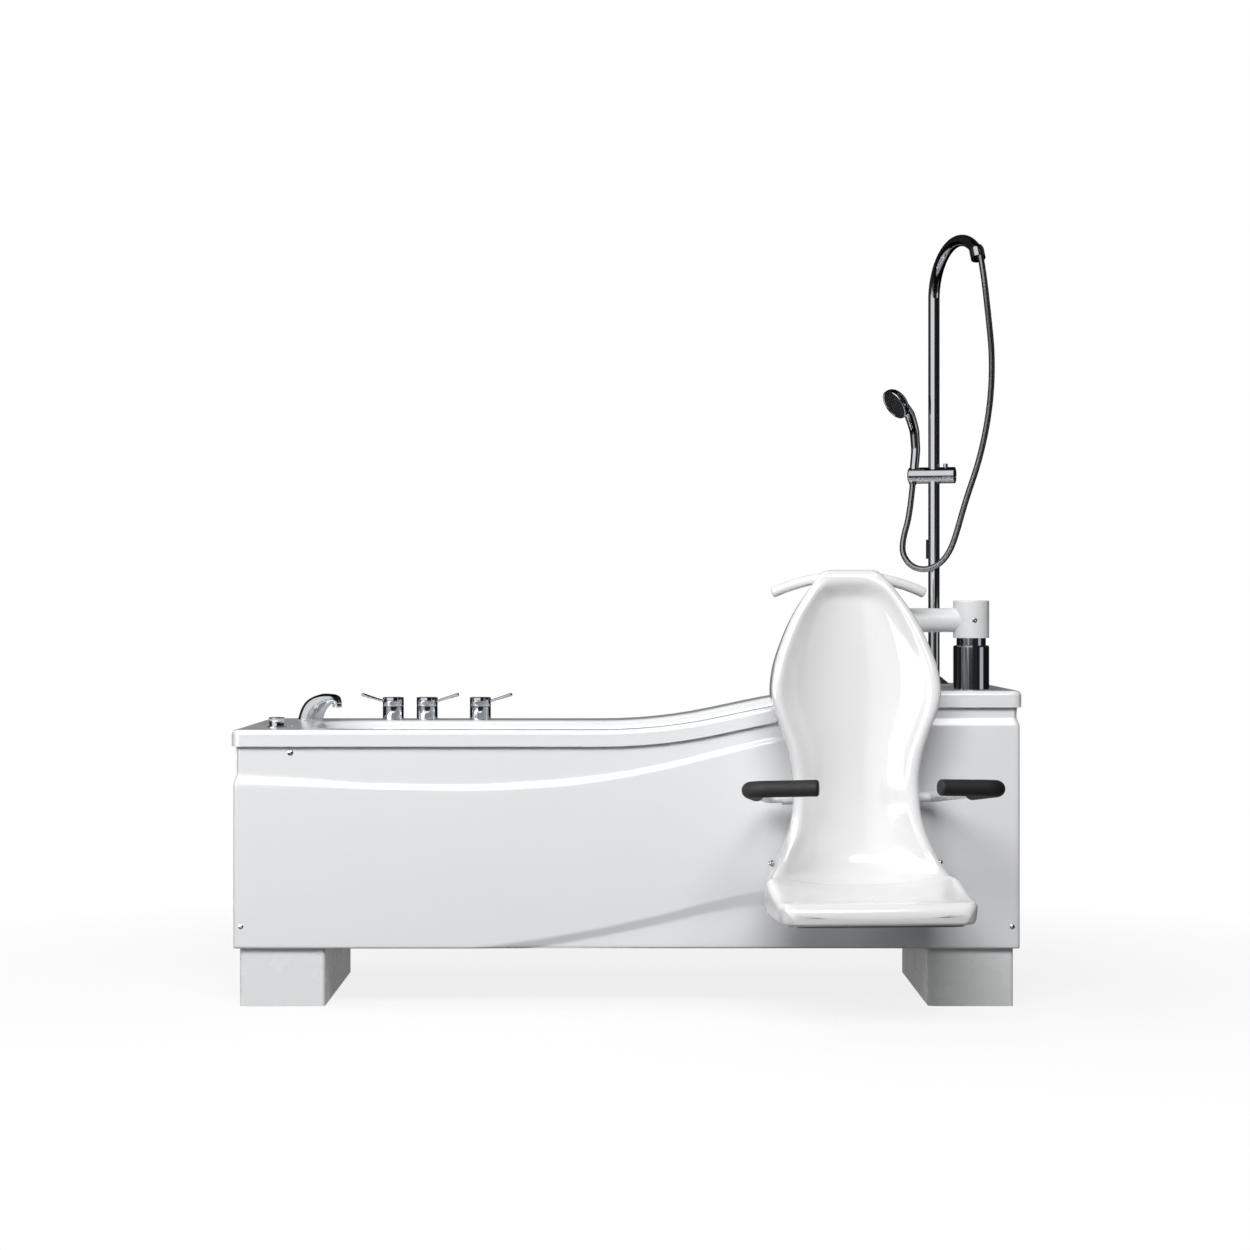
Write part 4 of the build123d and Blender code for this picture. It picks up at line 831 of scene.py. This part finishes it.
@dataclass
class Armrest:
    """Foam sleeve on the front of a fold-up armrest."""

    seat: SeatFrame
    side: int
    name: str
    height: float = 0.508
    rise: float = radians(6.5)
    hub: float = 0.1653
    grip: float = 0.019

    def frame(self) -> Matrix:
        """Matrix of the armrest's own level frame, tipped up by its rise."""
        y = SeatFrame.rear(self.height) + 0.0406
        return self.seat.place(0, y, self.height) @ Matrix.Rotation(-self.rise, 4, "X")

    def corners(self) -> list[Point]:
        """Corner points of the tube in its own frame."""
        y = SeatFrame.rear(self.height) + 0.0406
        return [(self.side * (self.hub - 0.008), 0.0, 0.0), (self.side * (self.hub + 0.034), 0.0, 0.0),
                (self.side * 0.293, -0.305 - y, 0.0), (self.side * 0.140, -0.345 - y, 0.0)]

    def build_grip(self, finish: Finish) -> bpy.types.Object:
        """Make the foam sleeve, rounded at its ends."""
        corners = [Vector(c) for c in self.corners()]
        begin = corners[1].lerp(corners[2], 0.55)
        end = corners[3] + (corners[3] - corners[2]) * 0.02
        line = [self.frame() @ p for p in spread(rounded_line((begin, corners[2], end), (0.046,)), 0.004)]
        rows, radii = round_ends(line, self.grip, 0.006)
        grip = tube(f"armrest_foam_{self.name}", rows, radii, 40)
        return settle(grip, finish, f"{self.name}_armrest", "foam", f"armrest_grip_{self.name}")


@dataclass
class SocketScrew:
    """Domed screw head with a hexagon socket on a thin washer."""

    centre: Point
    axis: Point
    radius: float
    high: float
    socket: float
    washer: float = 0.0

    def build(self, name: str, finish: Finish, body: str, slot: str, *nodes: str) -> bpy.types.Object:
        """Turn the head and sink its socket.

        Args:
            name: piece name.
            finish: finish of the head.
            body: body that the screw rides on.
            slot: material slot of the record; not used.
            nodes: CAD nodes that it stands for.

        Returns:
            The screw head.
        """
        profile = [(0.0, self.high * 0.25), (self.socket, self.high * 0.25), (self.socket, self.high * 0.92),
                   (self.socket * 1.12, self.high)]
        for k in range(1, 9):
            a = pi / 2 * k / 8
            profile.append((self.socket * 1.12 + (self.radius - self.socket * 1.12) * sin(a), self.high * cos(a)))
        if self.washer:
            thick = 0.0018
            profile += [(self.radius, thick), (self.washer - 0.0004, thick), (self.washer, thick - 0.0004),
                        (self.washer, -0.0005), (0.0, -0.0005)]
        else:
            profile += [(self.radius, -0.0005), (0.0, -0.0005)]

        def six_sided(radius: float, high: float, angle: float) -> float:
            """Flatten the socket's wall to six sides."""
            if radius > self.socket * 1.01 or radius == 0.0:
                return radius
            return radius * cos(pi / 6) / cos((angle % (pi / 3)) - pi / 6)

        screw = lathe(name, profile, facing(self.centre, self.axis), 48, six_sided)
        return settle(screw, finish, body, slot, *nodes)


@dataclass
class Tap:
    """Cylinder tap: a turning cap with a raised lever."""

    name: str
    x: float
    side: int
    y: float = 0.310
    deck: float = 0.666
    split: float = 0.034
    high: float = 0.058
    radius: float = 0.0275
    reach: float = 0.088
    rise: float = radians(17)

    def build_cap(self, finish: Finish) -> bpy.types.Object:
        """Turn the cap with its shadow groove and softened edges."""
        low = self.deck + self.split + 0.0003
        top = self.deck + self.high
        r = self.radius
        profile = [(0.0, low + 0.0135), (0.0074, low + 0.0135), (0.0074, low + 0.0004), (r - 0.0015, low),
                   (r - 0.0005, low + 0.0003), (r, low + 0.001), (r, top - 0.0018), (r - 0.0003, top - 0.0008),
                   (r - 0.0009, top - 0.0002), (r - 0.0018, top), (0.006, top + 0.0), (0.0, top)]
        cap = lathe(f"tap_cap_{self.name}", profile, Matrix.Translation((self.x, self.y, 0)))
        settle(cap, finish, f"{self.name}_valve", "chrome", f"valve_handle_{self.name}")
        return cap

    def build_lever(self, finish: Finish) -> bpy.types.Object:
        """Make the lever, slightly thicker towards its rounded tip."""
        root = Vector((self.x, self.y, self.deck + self.split + 0.006))
        along = Vector((self.side * cos(self.rise), 0, sin(self.rise)))
        tip = self.reach
        rows = [(0.018, 0.0034), (0.0300, 0.0034), (0.045, 0.0035), (0.062, 0.0038), (tip - 0.012, 0.00445),
                (tip - 0.004, 0.0045), (tip - 0.0018, 0.0040), (tip - 0.0005, 0.0026), (tip, 0.0008)]
        lever = tube(f"tap_lever_{self.name}", [root + along * s for s, _ in rows], [r for _, r in rows], 24)
        return settle(lever, finish, f"{self.name}_valve", "chrome")


@dataclass
class WasteKnob:
    """Smooth knob with a thin lip that works the pop-up waste."""

    x: float = -0.856
    y: float = -0.250
    deck: float = 0.666
    radius: float = 0.0195
    high: float = 0.025

    def build(self, finish: Finish) -> bpy.types.Object:
        """Turn the knob with its lip, its waist and the dish in its top."""
        low = self.deck + 0.0026
        top = self.deck + self.high
        r = self.radius
        profile = [(0.0, low + 0.012), (0.0053, low + 0.012), (0.0053, low), (r - 0.0012, low),
                   (r - 0.0004, low + 0.0006), (r - 0.0004, low + 0.0026), (r - 0.0013, low + 0.0034),
                   (r - 0.0013, top - 0.0042), (r - 0.0003, top - 0.0034), (r, top - 0.0028), (r, top - 0.0012),
                   (r - 0.0005, top - 0.0004), (r - 0.0014, top), (r - 0.0030, top - 0.0002),
                   (r * 0.55, top - 0.0010), (0.0, top - 0.0010)]
        knob = lathe("waste_grip", profile, Matrix.Translation((self.x, self.y, 0)), 96)
        return settle(knob, finish, "knob", "chrome", "waste_knob")


@dataclass
class Spout:
    """Bath spout on a broad foot: an outer arc over a hollowed flank, its mouth turned down."""

    x: float = -0.829
    y: float = 0.240
    deck: float = 0.6663
    mouth: float = 0.0747
    mouth_high: float = 0.0430
    mouth_radius: float = 0.0128

    def outlines(self, t: float) -> tuple[Flat, Flat]:
        """Points of the upper and lower outline, seen from the side, from foot to mouth."""
        shares = (0.0, 0.15, 0.32, 0.48, 0.65, 0.80, 0.91, 1.0)
        upper_x = (-0.0277, -0.0210, -0.0075, 0.0160, 0.0450, 0.0710, 0.0835, 0.0875)
        upper_z = (0.0, 0.0240, 0.0470, 0.0625, 0.0693, 0.0670, 0.0590, 0.0430)
        lower_x = (0.0375, 0.0400, 0.0435, 0.0490, 0.0560, 0.0600, 0.0614, 0.0619)
        lower_z = (0.0, 0.0090, 0.0200, 0.0300, 0.0385, 0.0415, 0.0424, 0.0430)
        read = [curve_through(tuple(zip(shares, values)))(t) for values in (upper_x, upper_z, lower_x, lower_z)]
        return (read[0], read[1]), (read[2], read[3])

    def half_width(self, t: float, v: float) -> float:
        """Half width of the section, v running from the upper to the lower outline."""
        widest = curve_through(((0, 0.0180), (0.35, 0.0170), (0.7, 0.0145), (1, self.mouth_radius)))(t)
        crease = curve_through(((0, 0.37), (0.45, 0.50), (0.8, 0.56), (1, 0.5)))(t)
        step = 0.0030 * (1 - smooth_step((t - 0.55) / 0.30))
        if v <= crease:
            return widest * sqrt(max(0.0, 1 - ((crease - v) / crease) ** 2))
        past = (v - crease) / (1 - crease)
        return (widest - step * smooth_step(past / 0.08)) * sqrt(max(0.0, 1 - past ** 2))

    def build(self, finish: Finish) -> bpy.types.Object:
        """Loft the sections between the two outlines.

        Args:
            finish: finish of the casting.

        Returns:
            The spout without its aerator.
        """
        rows = 56
        halves = [0.5 - 0.5 * cos(pi * k / 30) for k in range(31)]
        points: list[Point] = []
        for r in range(rows + 1):
            t = r / rows
            (ux, uz), (lx, lz) = self.outlines(t)
            for side, steps in ((-1, halves), (1, halves[-2:0:-1])):
                for v in steps:
                    points.append((self.x + ux + (lx - ux) * v, self.y + side * self.half_width(t, v),
                                   self.deck + uz + (lz - uz) * v))
        around = 2 * len(halves) - 2
        faces = ring_faces(rows + 1, around)
        faces += [tuple(range(around)), tuple(range(rows * around, (rows + 1) * around))]
        body = make_piece("bath_spout", points, faces)
        return settle(body, finish, "bath", "chrome", "spout")

    def build_ring(self, finish: Finish) -> bpy.types.Object:
        """Turn the aerator with its knurled grip and its dark inside."""
        r = self.mouth_radius
        profile = [(0.0, -0.0050), (r - 0.0040, -0.0050), (r - 0.0040, -0.0098), (r - 0.0022, -0.0102),
                   (r - 0.0012, -0.0098), (r - 0.0008, -0.0088), (r - 0.0008, -0.0020), (r - 0.0014, -0.0010),
                   (r - 0.0014, 0.0006), (0.0, 0.0006)]

        def knurl(radius: float, high: float, angle: float) -> float:
            """Cut shallow grip lines in the ring's wall."""
            if radius < r - 0.0010 or not -0.0095 < high < -0.0015:
                return radius
            return radius - 0.00022 * (1 - cos(30 * angle)) / 2

        place = Matrix.Translation((self.x + self.mouth, self.y, self.deck + self.mouth_high))
        ring = lathe("spout_aerator", profile, place, 120, knurl)
        return settle(ring, finish, "bath", "chrome", "spout_ring")


@dataclass
class Handset:
    """Hand shower: a curved handle that swells into a domed head."""

    riser: Flat = (0.808, 0.300)
    slider_z: float = 1.307
    yaw: float = radians(-18)
    hold: float = 0.052
    axis: Point = (-0.742, -0.40, -0.541)
    face: float = 0.042
    deep: float = 0.032

    def spot(self, side: float, high: float) -> Vector:
        """Point in the handset's bending plane, in millimetres from its holder."""
        foot = Vector((self.riser[0] - self.hold * cos(self.yaw), self.riser[1] - self.hold * sin(self.yaw),
                       self.slider_z))
        return foot + Vector((-0.88 * side, -0.474 * side, high)) * MM

    def build_body(self, finish: Finish) -> bpy.types.Object:
        """Join handle and head into one smooth casting.

        Args:
            finish: finish of the casting.

        Returns:
            The handset without its spray plate.
        """
        line = spread(rounded_line([self.spot(*p) for p in (
            (6, -24), (-4, 66), (0, 118), (15, 160), (44, 192))], (0.12, 0.07, 0.04)), 0.004)
        swell = curve_through((
            (0.0, 0.0098), (0.06, 0.0112), (0.20, 0.0118), (0.45, 0.0122), (0.62, 0.0130), (0.80, 0.0142), (1.0, 0.0150)))
        radii = [swell(k / (len(line) - 1)) for k in range(len(line))]
        handle = tube("hand_shower", line, radii, 40)
        place = facing(self.spot(66, 183), self.axis)
        profile = [(0.0, -self.deep)]
        for k in range(1, 15):
            a = pi / 2 * k / 14
            profile.append((self.face * sin(a) ** 0.9, -0.006 - (self.deep - 0.006) * cos(a) ** 0.85))
        profile += [(self.face, -0.004), (self.face - 0.0008, -0.0012), (self.face - 0.0025, 0.0),
                    (self.face - 0.0040, -0.0006), (self.face - 0.0050, -0.003), (0.0, -0.003)]
        head = lathe("hand_shower_head", profile, place, 96)
        return self.weld(handle, head, finish)

    def weld(self, handle: bpy.types.Object, head: bpy.types.Object, finish: Finish) -> bpy.types.Object:
        """Melt the back of the head and the handle together.

        Args:
            handle: the handle's tube.
            head: the turned head.
            finish: finish of both.

        Returns:
            The handle, joined to the head by a smooth neck.
        """
        join = handle.modifiers.new("join", "BOOLEAN")
        join.object = head
        join.operation = "UNION"
        even = handle.modifiers.new("even", "REMESH")
        even.mode = "VOXEL"
        even.voxel_size = 0.0011
        soft = handle.modifiers.new("soft", "SMOOTH")
        soft.iterations = 9
        soft.factor = 0.5
        applied = bpy.data.meshes.new_from_object(handle.evaluated_get(bpy.context.evaluated_depsgraph_get()))
        handle.modifiers.clear()
        handle.data = applied
        applied.shade_smooth()
        bpy.data.objects.remove(head)
        return settle(handle, finish, "shower_slider", "chrome", "handset")

    def build_plate(self, finish: Finish) -> bpy.types.Object:
        """Make the spray plate with rings of raised nozzles."""
        place = facing(self.spot(66, 183), self.axis)
        edge = self.face - 0.0056
        around = 96
        points: list[Point] = []
        radii = [edge * k / 44 for k in range(1, 45)]
        rings = ((0.0, 1), (0.0085, 6), (0.0165, 12), (0.0245, 18), (0.032, 24))

        def bump(x: float, y: float) -> float:
            """Height of the plate at a place, nozzles included."""
            high = -0.0013 - 0.8 * (x * x + y * y)
            for radius, count in rings:
                for k in range(count):
                    a = 2 * pi * k / count + radius * 40
                    gap = hypot(x - radius * cos(a), y - radius * sin(a))
                    if gap < 0.0024:
                        high += 0.0011 * smooth_step(1.6 * (1 - gap / 0.0024))
            return high

        points.append((0.0, 0.0, bump(0, 0)))
        for radius in radii:
            for i in range(around):
                a = 2 * pi * i / around
                x, y = radius * cos(a), radius * sin(a)
                points.append((x, y, bump(x, y)))
        last = len(points) - around
        points += [(points[last + i][0], points[last + i][1], -0.0029) for i in range(around)]
        faces = [(0, 1 + i, 1 + (i + 1) % around) for i in range(around)]
        for r in range(len(radii)):
            base = 1 + r * around
            faces += [(base + i, base + (i + 1) % around, base + around + (i + 1) % around, base + around + i)
                      for i in range(around)]
        faces.append(tuple(range(len(points) - around, len(points))))
        plate = make_piece("spray_nozzles", points, faces, place)
        return settle(plate, finish, "shower_slider", "dark_plastic", "spray_plate")


@dataclass
class ShowerHose:
    """Metal hose from the crook's bell down in front of the riser and up into the handset."""

    diameter: float = 0.016
    turn: float = 0.0034
    groove: float = 0.0005

    def route(self) -> list[Point]:
        """Control points of the hose's line, in millimetres."""
        return [
            (900.8, 70.6, 1871.5), (907.3, 46.0, 1822.7), (922, 60, 1710), (938, 100, 1600), (937, 138, 1478),
            (916, 172, 1350), (880, 206, 1235), (862, 226, 1162), (846, 241, 1110), (822, 254, 1075),
            (785, 267, 1057), (747, 281, 1066), (724, 294, 1100), (727, 302, 1142),
            (745.5, 308.7, 1203.4), (753.3, 313.0, 1283.0)]

    def line(self) -> list[Vector]:
        """Read points along the hose's smooth line."""
        data = bpy.data.curves.new("hose_line", "CURVE")
        data.dimensions = "3D"
        spline = data.splines.new("NURBS")
        spots = self.route()
        spline.points.add(len(spots) - 1)
        for point, spot in zip(spline.points, spots):
            point.co = (spot[0] * MM, spot[1] * MM, spot[2] * MM, 1)
        spline.order_u = 3
        spline.use_endpoint_u = True
        spline.resolution_u = 24
        guide = bpy.data.objects.new("hose_line", data)
        bpy.context.scene.collection.objects.link(guide)
        bpy.context.view_layer.update()
        mesh = bpy.data.meshes.new_from_object(guide.evaluated_get(bpy.context.evaluated_depsgraph_get()))
        points = [v.co.copy() for v in mesh.vertices]
        bpy.data.objects.remove(guide)
        bpy.data.meshes.remove(mesh)
        return points

    def build(self, finish: Finish) -> bpy.types.Object:
        """Sweep the hose with the ridges of its wound band.

        Args:
            finish: finish of the band.

        Returns:
            The hose.
        """
        centre = self.line()
        dense = spread(centre, self.turn / 5)
        radius = self.diameter / 2
        radii = []
        for k in range(len(dense)):
            share = (k % 5) / 5
            radii.append(radius - self.groove * (1.0 if share == 0 else 0.25 if share in (0.2, 0.8) else 0.0))
        hose = tube("shower_hose_band", dense, radii, 20)
        settle(hose, finish, "bath", "chrome", "shower_hose")
        return hose


# Room

@dataclass
class Studio:
    """Pale room with soft lamps, and the camera at the photograph's place."""

    eye: Point = (-0.0036, -7.760, 0.9586)
    depth: float = 7.36
    scale_mm: float = 2.399
    pixels: int = 1250
    horizon: float = 608.0
    across: float = 625.0
    sensor: float = 36.0

    def camera(self) -> bpy.types.Object:
        """Put the camera level with the photograph's own horizon."""
        focal = self.depth / (self.scale_mm * MM)
        data = bpy.data.cameras.new("eye")
        data.sensor_width = data.sensor_height = self.sensor
        data.sensor_fit = "HORIZONTAL"
        data.lens = focal * self.sensor / self.pixels
        data.shift_y = -(self.pixels / 2 - self.horizon) / self.pixels
        data.shift_x = -(self.across - self.pixels / 2) / self.pixels
        data.clip_end = 100
        eye = bpy.data.objects.new("eye", data)
        eye.location = self.eye
        eye.rotation_euler = (radians(90), 0, 0)
        bpy.context.scene.collection.objects.link(eye)
        bpy.context.scene.camera = eye
        log.info("camera with a %.1f mm lens, %.2f degrees wide", data.lens, degrees(2 * atan(0.5 * 1250 / focal)))
        return eye

    def floor(self) -> bpy.types.Object:
        """Lay a pale floor that keeps the shadow, with painted shade near the bath that only reflections see."""
        size = 3.6
        floor = make_piece("pale_floor", ((-size, -size, 0), (size, -size, 0), (size, size, 0), (-size, size, 0)),
                           ((0, 1, 2, 3),))
        floor.location.z = -0.0005
        material = bpy.data.materials.new("floor_painted_pale")
        material.use_nodes = True
        tree = material.node_tree
        tree.nodes.clear()
        bounce = add_node(tree, "ShaderNodeBsdfDiffuse", {"Color": linear("#6A6A6A")})
        painted_floor_shade = add_node(tree, "ShaderNodeBsdfDiffuse", {"Color": linear("#0C0C0C")})
        paint = add_node(tree, "ShaderNodeBsdfDiffuse", {"Color": linear("#FAFAFA")})
        glow = add_node(tree, "ShaderNodeEmission", {"Color": (1, 1, 1, 1), "Strength": 1.0})
        place = add_node(tree, "ShaderNodeTexCoord").outputs["Object"]
        away = add_node(tree, "ShaderNodeVectorMath", {"operation": "LENGTH"}, {0: place}).outputs["Value"]
        share = add_node(tree, "ShaderNodeMapRange", {
            "From Min": 1.3, "From Max": 2.6, "To Min": 0.84, "To Max": 1.0}, {"Value": away})
        near = add_node(tree, "ShaderNodeMapRange", {
            "From Min": 1.0, "From Max": 1.8, "To Min": 0.5, "To Max": 0.0}, {"Value": away})
        shown = add_node(tree, "ShaderNodeMixShader", None, {0: share.outputs[0], 1: paint.outputs[0],
                                                            2: glow.outputs[0]})
        rays = add_node(tree, "ShaderNodeLightPath")
        # Glossy rays see the floor near the bath up to half dark: painted shade for polished pieces to mirror,
        # fading out by 1.8 m from the middle.
        mirrored = add_node(tree, "ShaderNodeMixShader", None, {0: near.outputs[0], 1: painted_floor_shade.outputs[0],
                                                               2: shown.outputs[0]})
        lit = add_node(tree, "ShaderNodeMixShader", None, {
            0: rays.outputs["Is Glossy Ray"], 1: bounce.outputs[0], 2: mirrored.outputs[0]})
        mix = add_node(tree, "ShaderNodeMixShader", None, {
            0: rays.outputs["Is Camera Ray"], 1: lit.outputs[0], 2: shown.outputs[0]})
        add_node(tree, "ShaderNodeOutputMaterial", None, {"Surface": mix.outputs[0]})
        floor.data.materials.append(material)
        return floor

    @staticmethod
    def bands(tree: bpy.types.NodeTree, way: bpy.types.NodeSocket, stops: Sequence[Flat]) -> bpy.types.Node:
        """Upright bands of light round the room.

        Args:
            tree: node tree of the world.
            way: direction that is looked in.
            stops: share of a turn and the brightness there, in rising order.

        Returns:
            The ramp that holds the bands.
        """
        turn = add_node(tree, "ShaderNodeTexGradient", {"gradient_type": "RADIAL"}, {"Vector": way})
        node = add_node(tree, "ShaderNodeValToRGB", None, {0: turn.outputs[1]})
        ramp = node.color_ramp
        for number, (place, light) in enumerate(stops):
            stop = ramp.elements[number] if number < 2 else ramp.elements.new(place)
            stop.position = place
            stop.color = (light, light, light, 1)
        return node

    def world(self) -> bpy.types.World:
        """Build the room's light: white to the eye, with dark flags for the chrome to mirror."""
        world = bpy.data.worlds.new("pale_room")
        bpy.context.scene.world = world
        world.use_nodes = True
        tree = world.node_tree
        tree.nodes.clear()
        rays = add_node(tree, "ShaderNodeLightPath")
        way = add_node(tree, "ShaderNodeTexCoord").outputs["Generated"]
        # Share of a turn, counted from -X through -Y, +X and +Y, against the brightness there
        high = self.bands(tree, way, (
            (0.0, 0.02), (0.035, 0.02), (0.05, 0.90), (0.12, 0.95), (0.25, 0.95), (0.265, 0.02), (0.50, 0.012),
            (0.60, 0.05), (0.70, 0.012), (0.96, 0.02), (0.975, 0.16), (0.99, 0.02)))
        low = self.bands(tree, way, (
            (0.0, 0.015), (0.050, 0.015), (0.066, 0.50), (0.150, 0.60), (0.172, 0.60), (0.195, 0.02),
            (0.30, 0.03), (0.385, 0.015), (0.398, 0.75), (0.455, 0.70), (0.470, 0.012), (0.75, 0.01),
            (0.960, 0.015), (0.972, 0.12), (0.985, 0.015)))
        even = add_node(tree, "ShaderNodeBackground", {"Color": linear("#FFFFFF"), "Strength": 0.13})
        rise = add_node(tree, "ShaderNodeSeparateXYZ", None, {0: way}).outputs["Z"]
        under_ceiling = add_node(tree, "ShaderNodeMapRange", {
            "From Min": 0.86, "From Max": 0.93, "To Min": 1.0, "To Max": 0.03}, {"Value": rise})
        over_floor = add_node(tree, "ShaderNodeMapRange", {
            "From Min": -0.16, "From Max": -0.09, "To Min": 0.14, "To Max": 1.0}, {"Value": rise})
        level = add_node(tree, "ShaderNodeMath", {"operation": "MULTIPLY"}, {
            0: under_ceiling.outputs[0], 1: over_floor.outputs[0]})
        over_eye = add_node(tree, "ShaderNodeMapRange", {"From Min": -0.004, "From Max": 0.004}, {"Value": rise})
        room = add_node(tree, "ShaderNodeMix", {"data_type": "RGBA"}, {
            0: over_eye.outputs[0], 6: low.outputs[0], 7: high.outputs[0]})
        mirror = add_node(tree, "ShaderNodeBackground", None, {
            "Color": room.outputs[2], "Strength": level.outputs[0]})
        white = add_node(tree, "ShaderNodeBackground", {"Color": (1, 1, 1, 1), "Strength": 1.0})
        first = add_node(tree, "ShaderNodeMixShader", None, {
            0: rays.outputs["Is Glossy Ray"], 1: even.outputs[0], 2: mirror.outputs[0]})
        seen = add_node(tree, "ShaderNodeMath", {"operation": "MAXIMUM"}, {
            0: rays.outputs["Is Camera Ray"], 1: rays.outputs["Is Transmission Ray"]})
        last = add_node(tree, "ShaderNodeMixShader", None, {
            0: seen.outputs[0], 1: first.outputs[0], 2: white.outputs[0]})
        add_node(tree, "ShaderNodeOutputWorld", None, {"Surface": last.outputs[0]})
        return world

    def lamp(self, name: str, place: Point, aim: Point, size: Flat, power: float) -> bpy.types.Object:
        """Hang one soft lamp.

        Args:
            name: lamp name.
            place: where it hangs.
            aim: what it points at.
            size: width and height of its face.
            power: watts.

        Returns:
            The lamp.
        """
        data = bpy.data.lights.new(name, "AREA")
        data.shape = "RECTANGLE"
        data.size, data.size_y = size
        data.energy = power
        lamp = bpy.data.objects.new(name, data)
        lamp.location = place
        lamp.rotation_euler = (Vector(aim) - Vector(place)).to_track_quat("-Z", "Y").to_euler()
        bpy.context.scene.collection.objects.link(lamp)
        return lamp

    def build(self) -> list[bpy.types.Object]:
        """Set up camera, floor, world and lamps.

        Returns:
            The lamps.
        """
        self.camera()
        self.floor()
        self.world()
        lamps = [
            self.lamp("front_bank", (-0.2, -5.4, 4.3), (0.0, -0.4, 0.6), (4.6, 2.4), 355),
            self.lamp("left_bank", (-4.2, -3.0, 2.2), (0.3, -0.5, 0.8), (1.6, 3.4), 62),
            self.lamp("top_bank", (-1.2, 0.8, 4.0), (0.0, 0.0, 0.6), (3.0, 1.6), 30),
            self.lamp("gloss_bank", (-2.9, -2.5, 1.7), (0.5, -0.5, 0.8), (2.2, 2.6), 105)]
        lamps[-1].visible_diffuse = False
        bpy.context.scene.view_settings.view_transform = "Standard"
        return lamps

    @staticmethod
    def flag(lamps: Sequence[bpy.types.Object], finishes: Sequence["Finish"]) -> None:
        """Keep the lamps' own faces out of polished metal, which mirrors the room instead.

        Args:
            lamps: lamps of the room.
            finishes: the polished finishes.
        """
        names = {finish.name for finish in finishes}
        mirrors = bpy.data.collections.new("polished_pieces")
        for obj in bpy.context.scene.objects:
            if obj.type == "MESH" and any(m and m.name in names for m in obj.data.materials):
                mirrors.objects.link(obj)
        for item in mirrors.collection_objects:
            item.light_linking.link_state = "EXCLUDE"
        for lamp in lamps:
            lamp.light_linking.receiver_collection = mirrors


def dress_screws(seat: SeatFrame) -> None:
    """Put socket heads on the seat's two bolts and on the screw of the post's head.

    Args:
        seat: frame of the seat.
    """
    across = seat.place().to_3x3()
    for side, name, nodes in ((-1, "left", ("seat_bolts",)), (1, "right", ())):
        centre = tuple(seat.place(side * 0.1975, -0.016, 0.359).translation)
        axis = tuple(across @ Vector((side, -0.35, 0.0)))
        bolt = SocketScrew(centre, axis, 0.0062, 0.0090, 0.0034, washer=0.0080)
        bolt.build(f"seat_bolt_head_{name}", STAINLESS, "seat", "chrome", *nodes)
    forward = Matrix.Rotation(seat.swing, 3, "Z") @ Vector((0, -1, 0))
    face = Vector((seat.post[0], seat.post[1], 0.929)) + forward * 0.0430
    screw = SocketScrew(tuple(face), tuple(forward), 0.0062, 0.0030, 0.0028)
    screw.build("post_head_screw", STAINLESS, "seat", "chrome", "head_screw")


def main() -> None:
    """Build the looks of the bath, piece by piece."""
    logging.basicConfig(level=logging.INFO, format="%(message)s")
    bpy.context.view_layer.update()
    lamps = Studio().build()
    seat = SeatFrame()

    finish_nodes(ACRYLIC, "bath_tub", "back_panel")
    ReliefPanel().build(ACRYLIC)
    EndPanel(side=-1).build(ACRYLIC, "foot")
    EndPanel(side=1, crest=0.674, slope=0.024, rim=0.760).build(ACRYLIC, "head")

    SeatShell(seat).build(GEL_COAT)
    PushHandle(seat).build(POWDER_COAT)
    for side, name in ((-1, "left"), (1, "right")):
        Armrest(seat, side, name).build_grip(FOAM)

    for name, x, side in (("shower", -0.613, -1), ("hot", -0.524, 1), ("cold", -0.384, 1)):
        tap = Tap(name, x, side)
        tap.build_cap(CHROME)
        tap.build_lever(CHROME)
    WasteKnob().build(CHROME)
    spout = Spout()
    spout.build(CHROME)
    spout.build_ring(CHROME)

    handset = Handset()
    handset.build_body(CHROME)
    handset.build_plate(DARK_ABS)
    ShowerHose().build(HOSE_STEEL)

    finish_nodes(POWDER_COAT, "pedestal_foot", "pedestal_head", "post_head", "seat_arm", "arm_bracket",
                 "seat_spine", "armrest_crossbar", "armrest_left", "armrest_right")
    finish_nodes(POST_CHROME, "post_sleeve", "post_ram")
    finish_nodes(CHROME, "riser_pipe", "riser_rosette", "hose_bell", "slider", "slider_knob", "valve_bodies",
                 "waste_body", "waste_plug", "knob_base")
    finish_nodes(ZINC, "base_plates", "column_tube_foot", "column_tube_head", "column_ram_foot",
                 "column_ram_head", "lift_screw_foot", "lift_screw_head", "chassis", "straps", "post_bracket",
                 "corner_angles", "seat_plate", "back_nuts")
    dress_screws(seat)
    finish_nodes(STAINLESS, "panel_screws")
    finish_nodes(RUBBER, "base_pads")
    finish_nodes(DARK_ABS, "riser_clip", "slider_cap")
    finish_nodes(GREY_ACETAL, "post_bushes", "deck_sensor")
    Studio.flag(lamps, (CHROME, POST_CHROME, HOSE_STEEL))


if __name__ == "__main__":
    main()
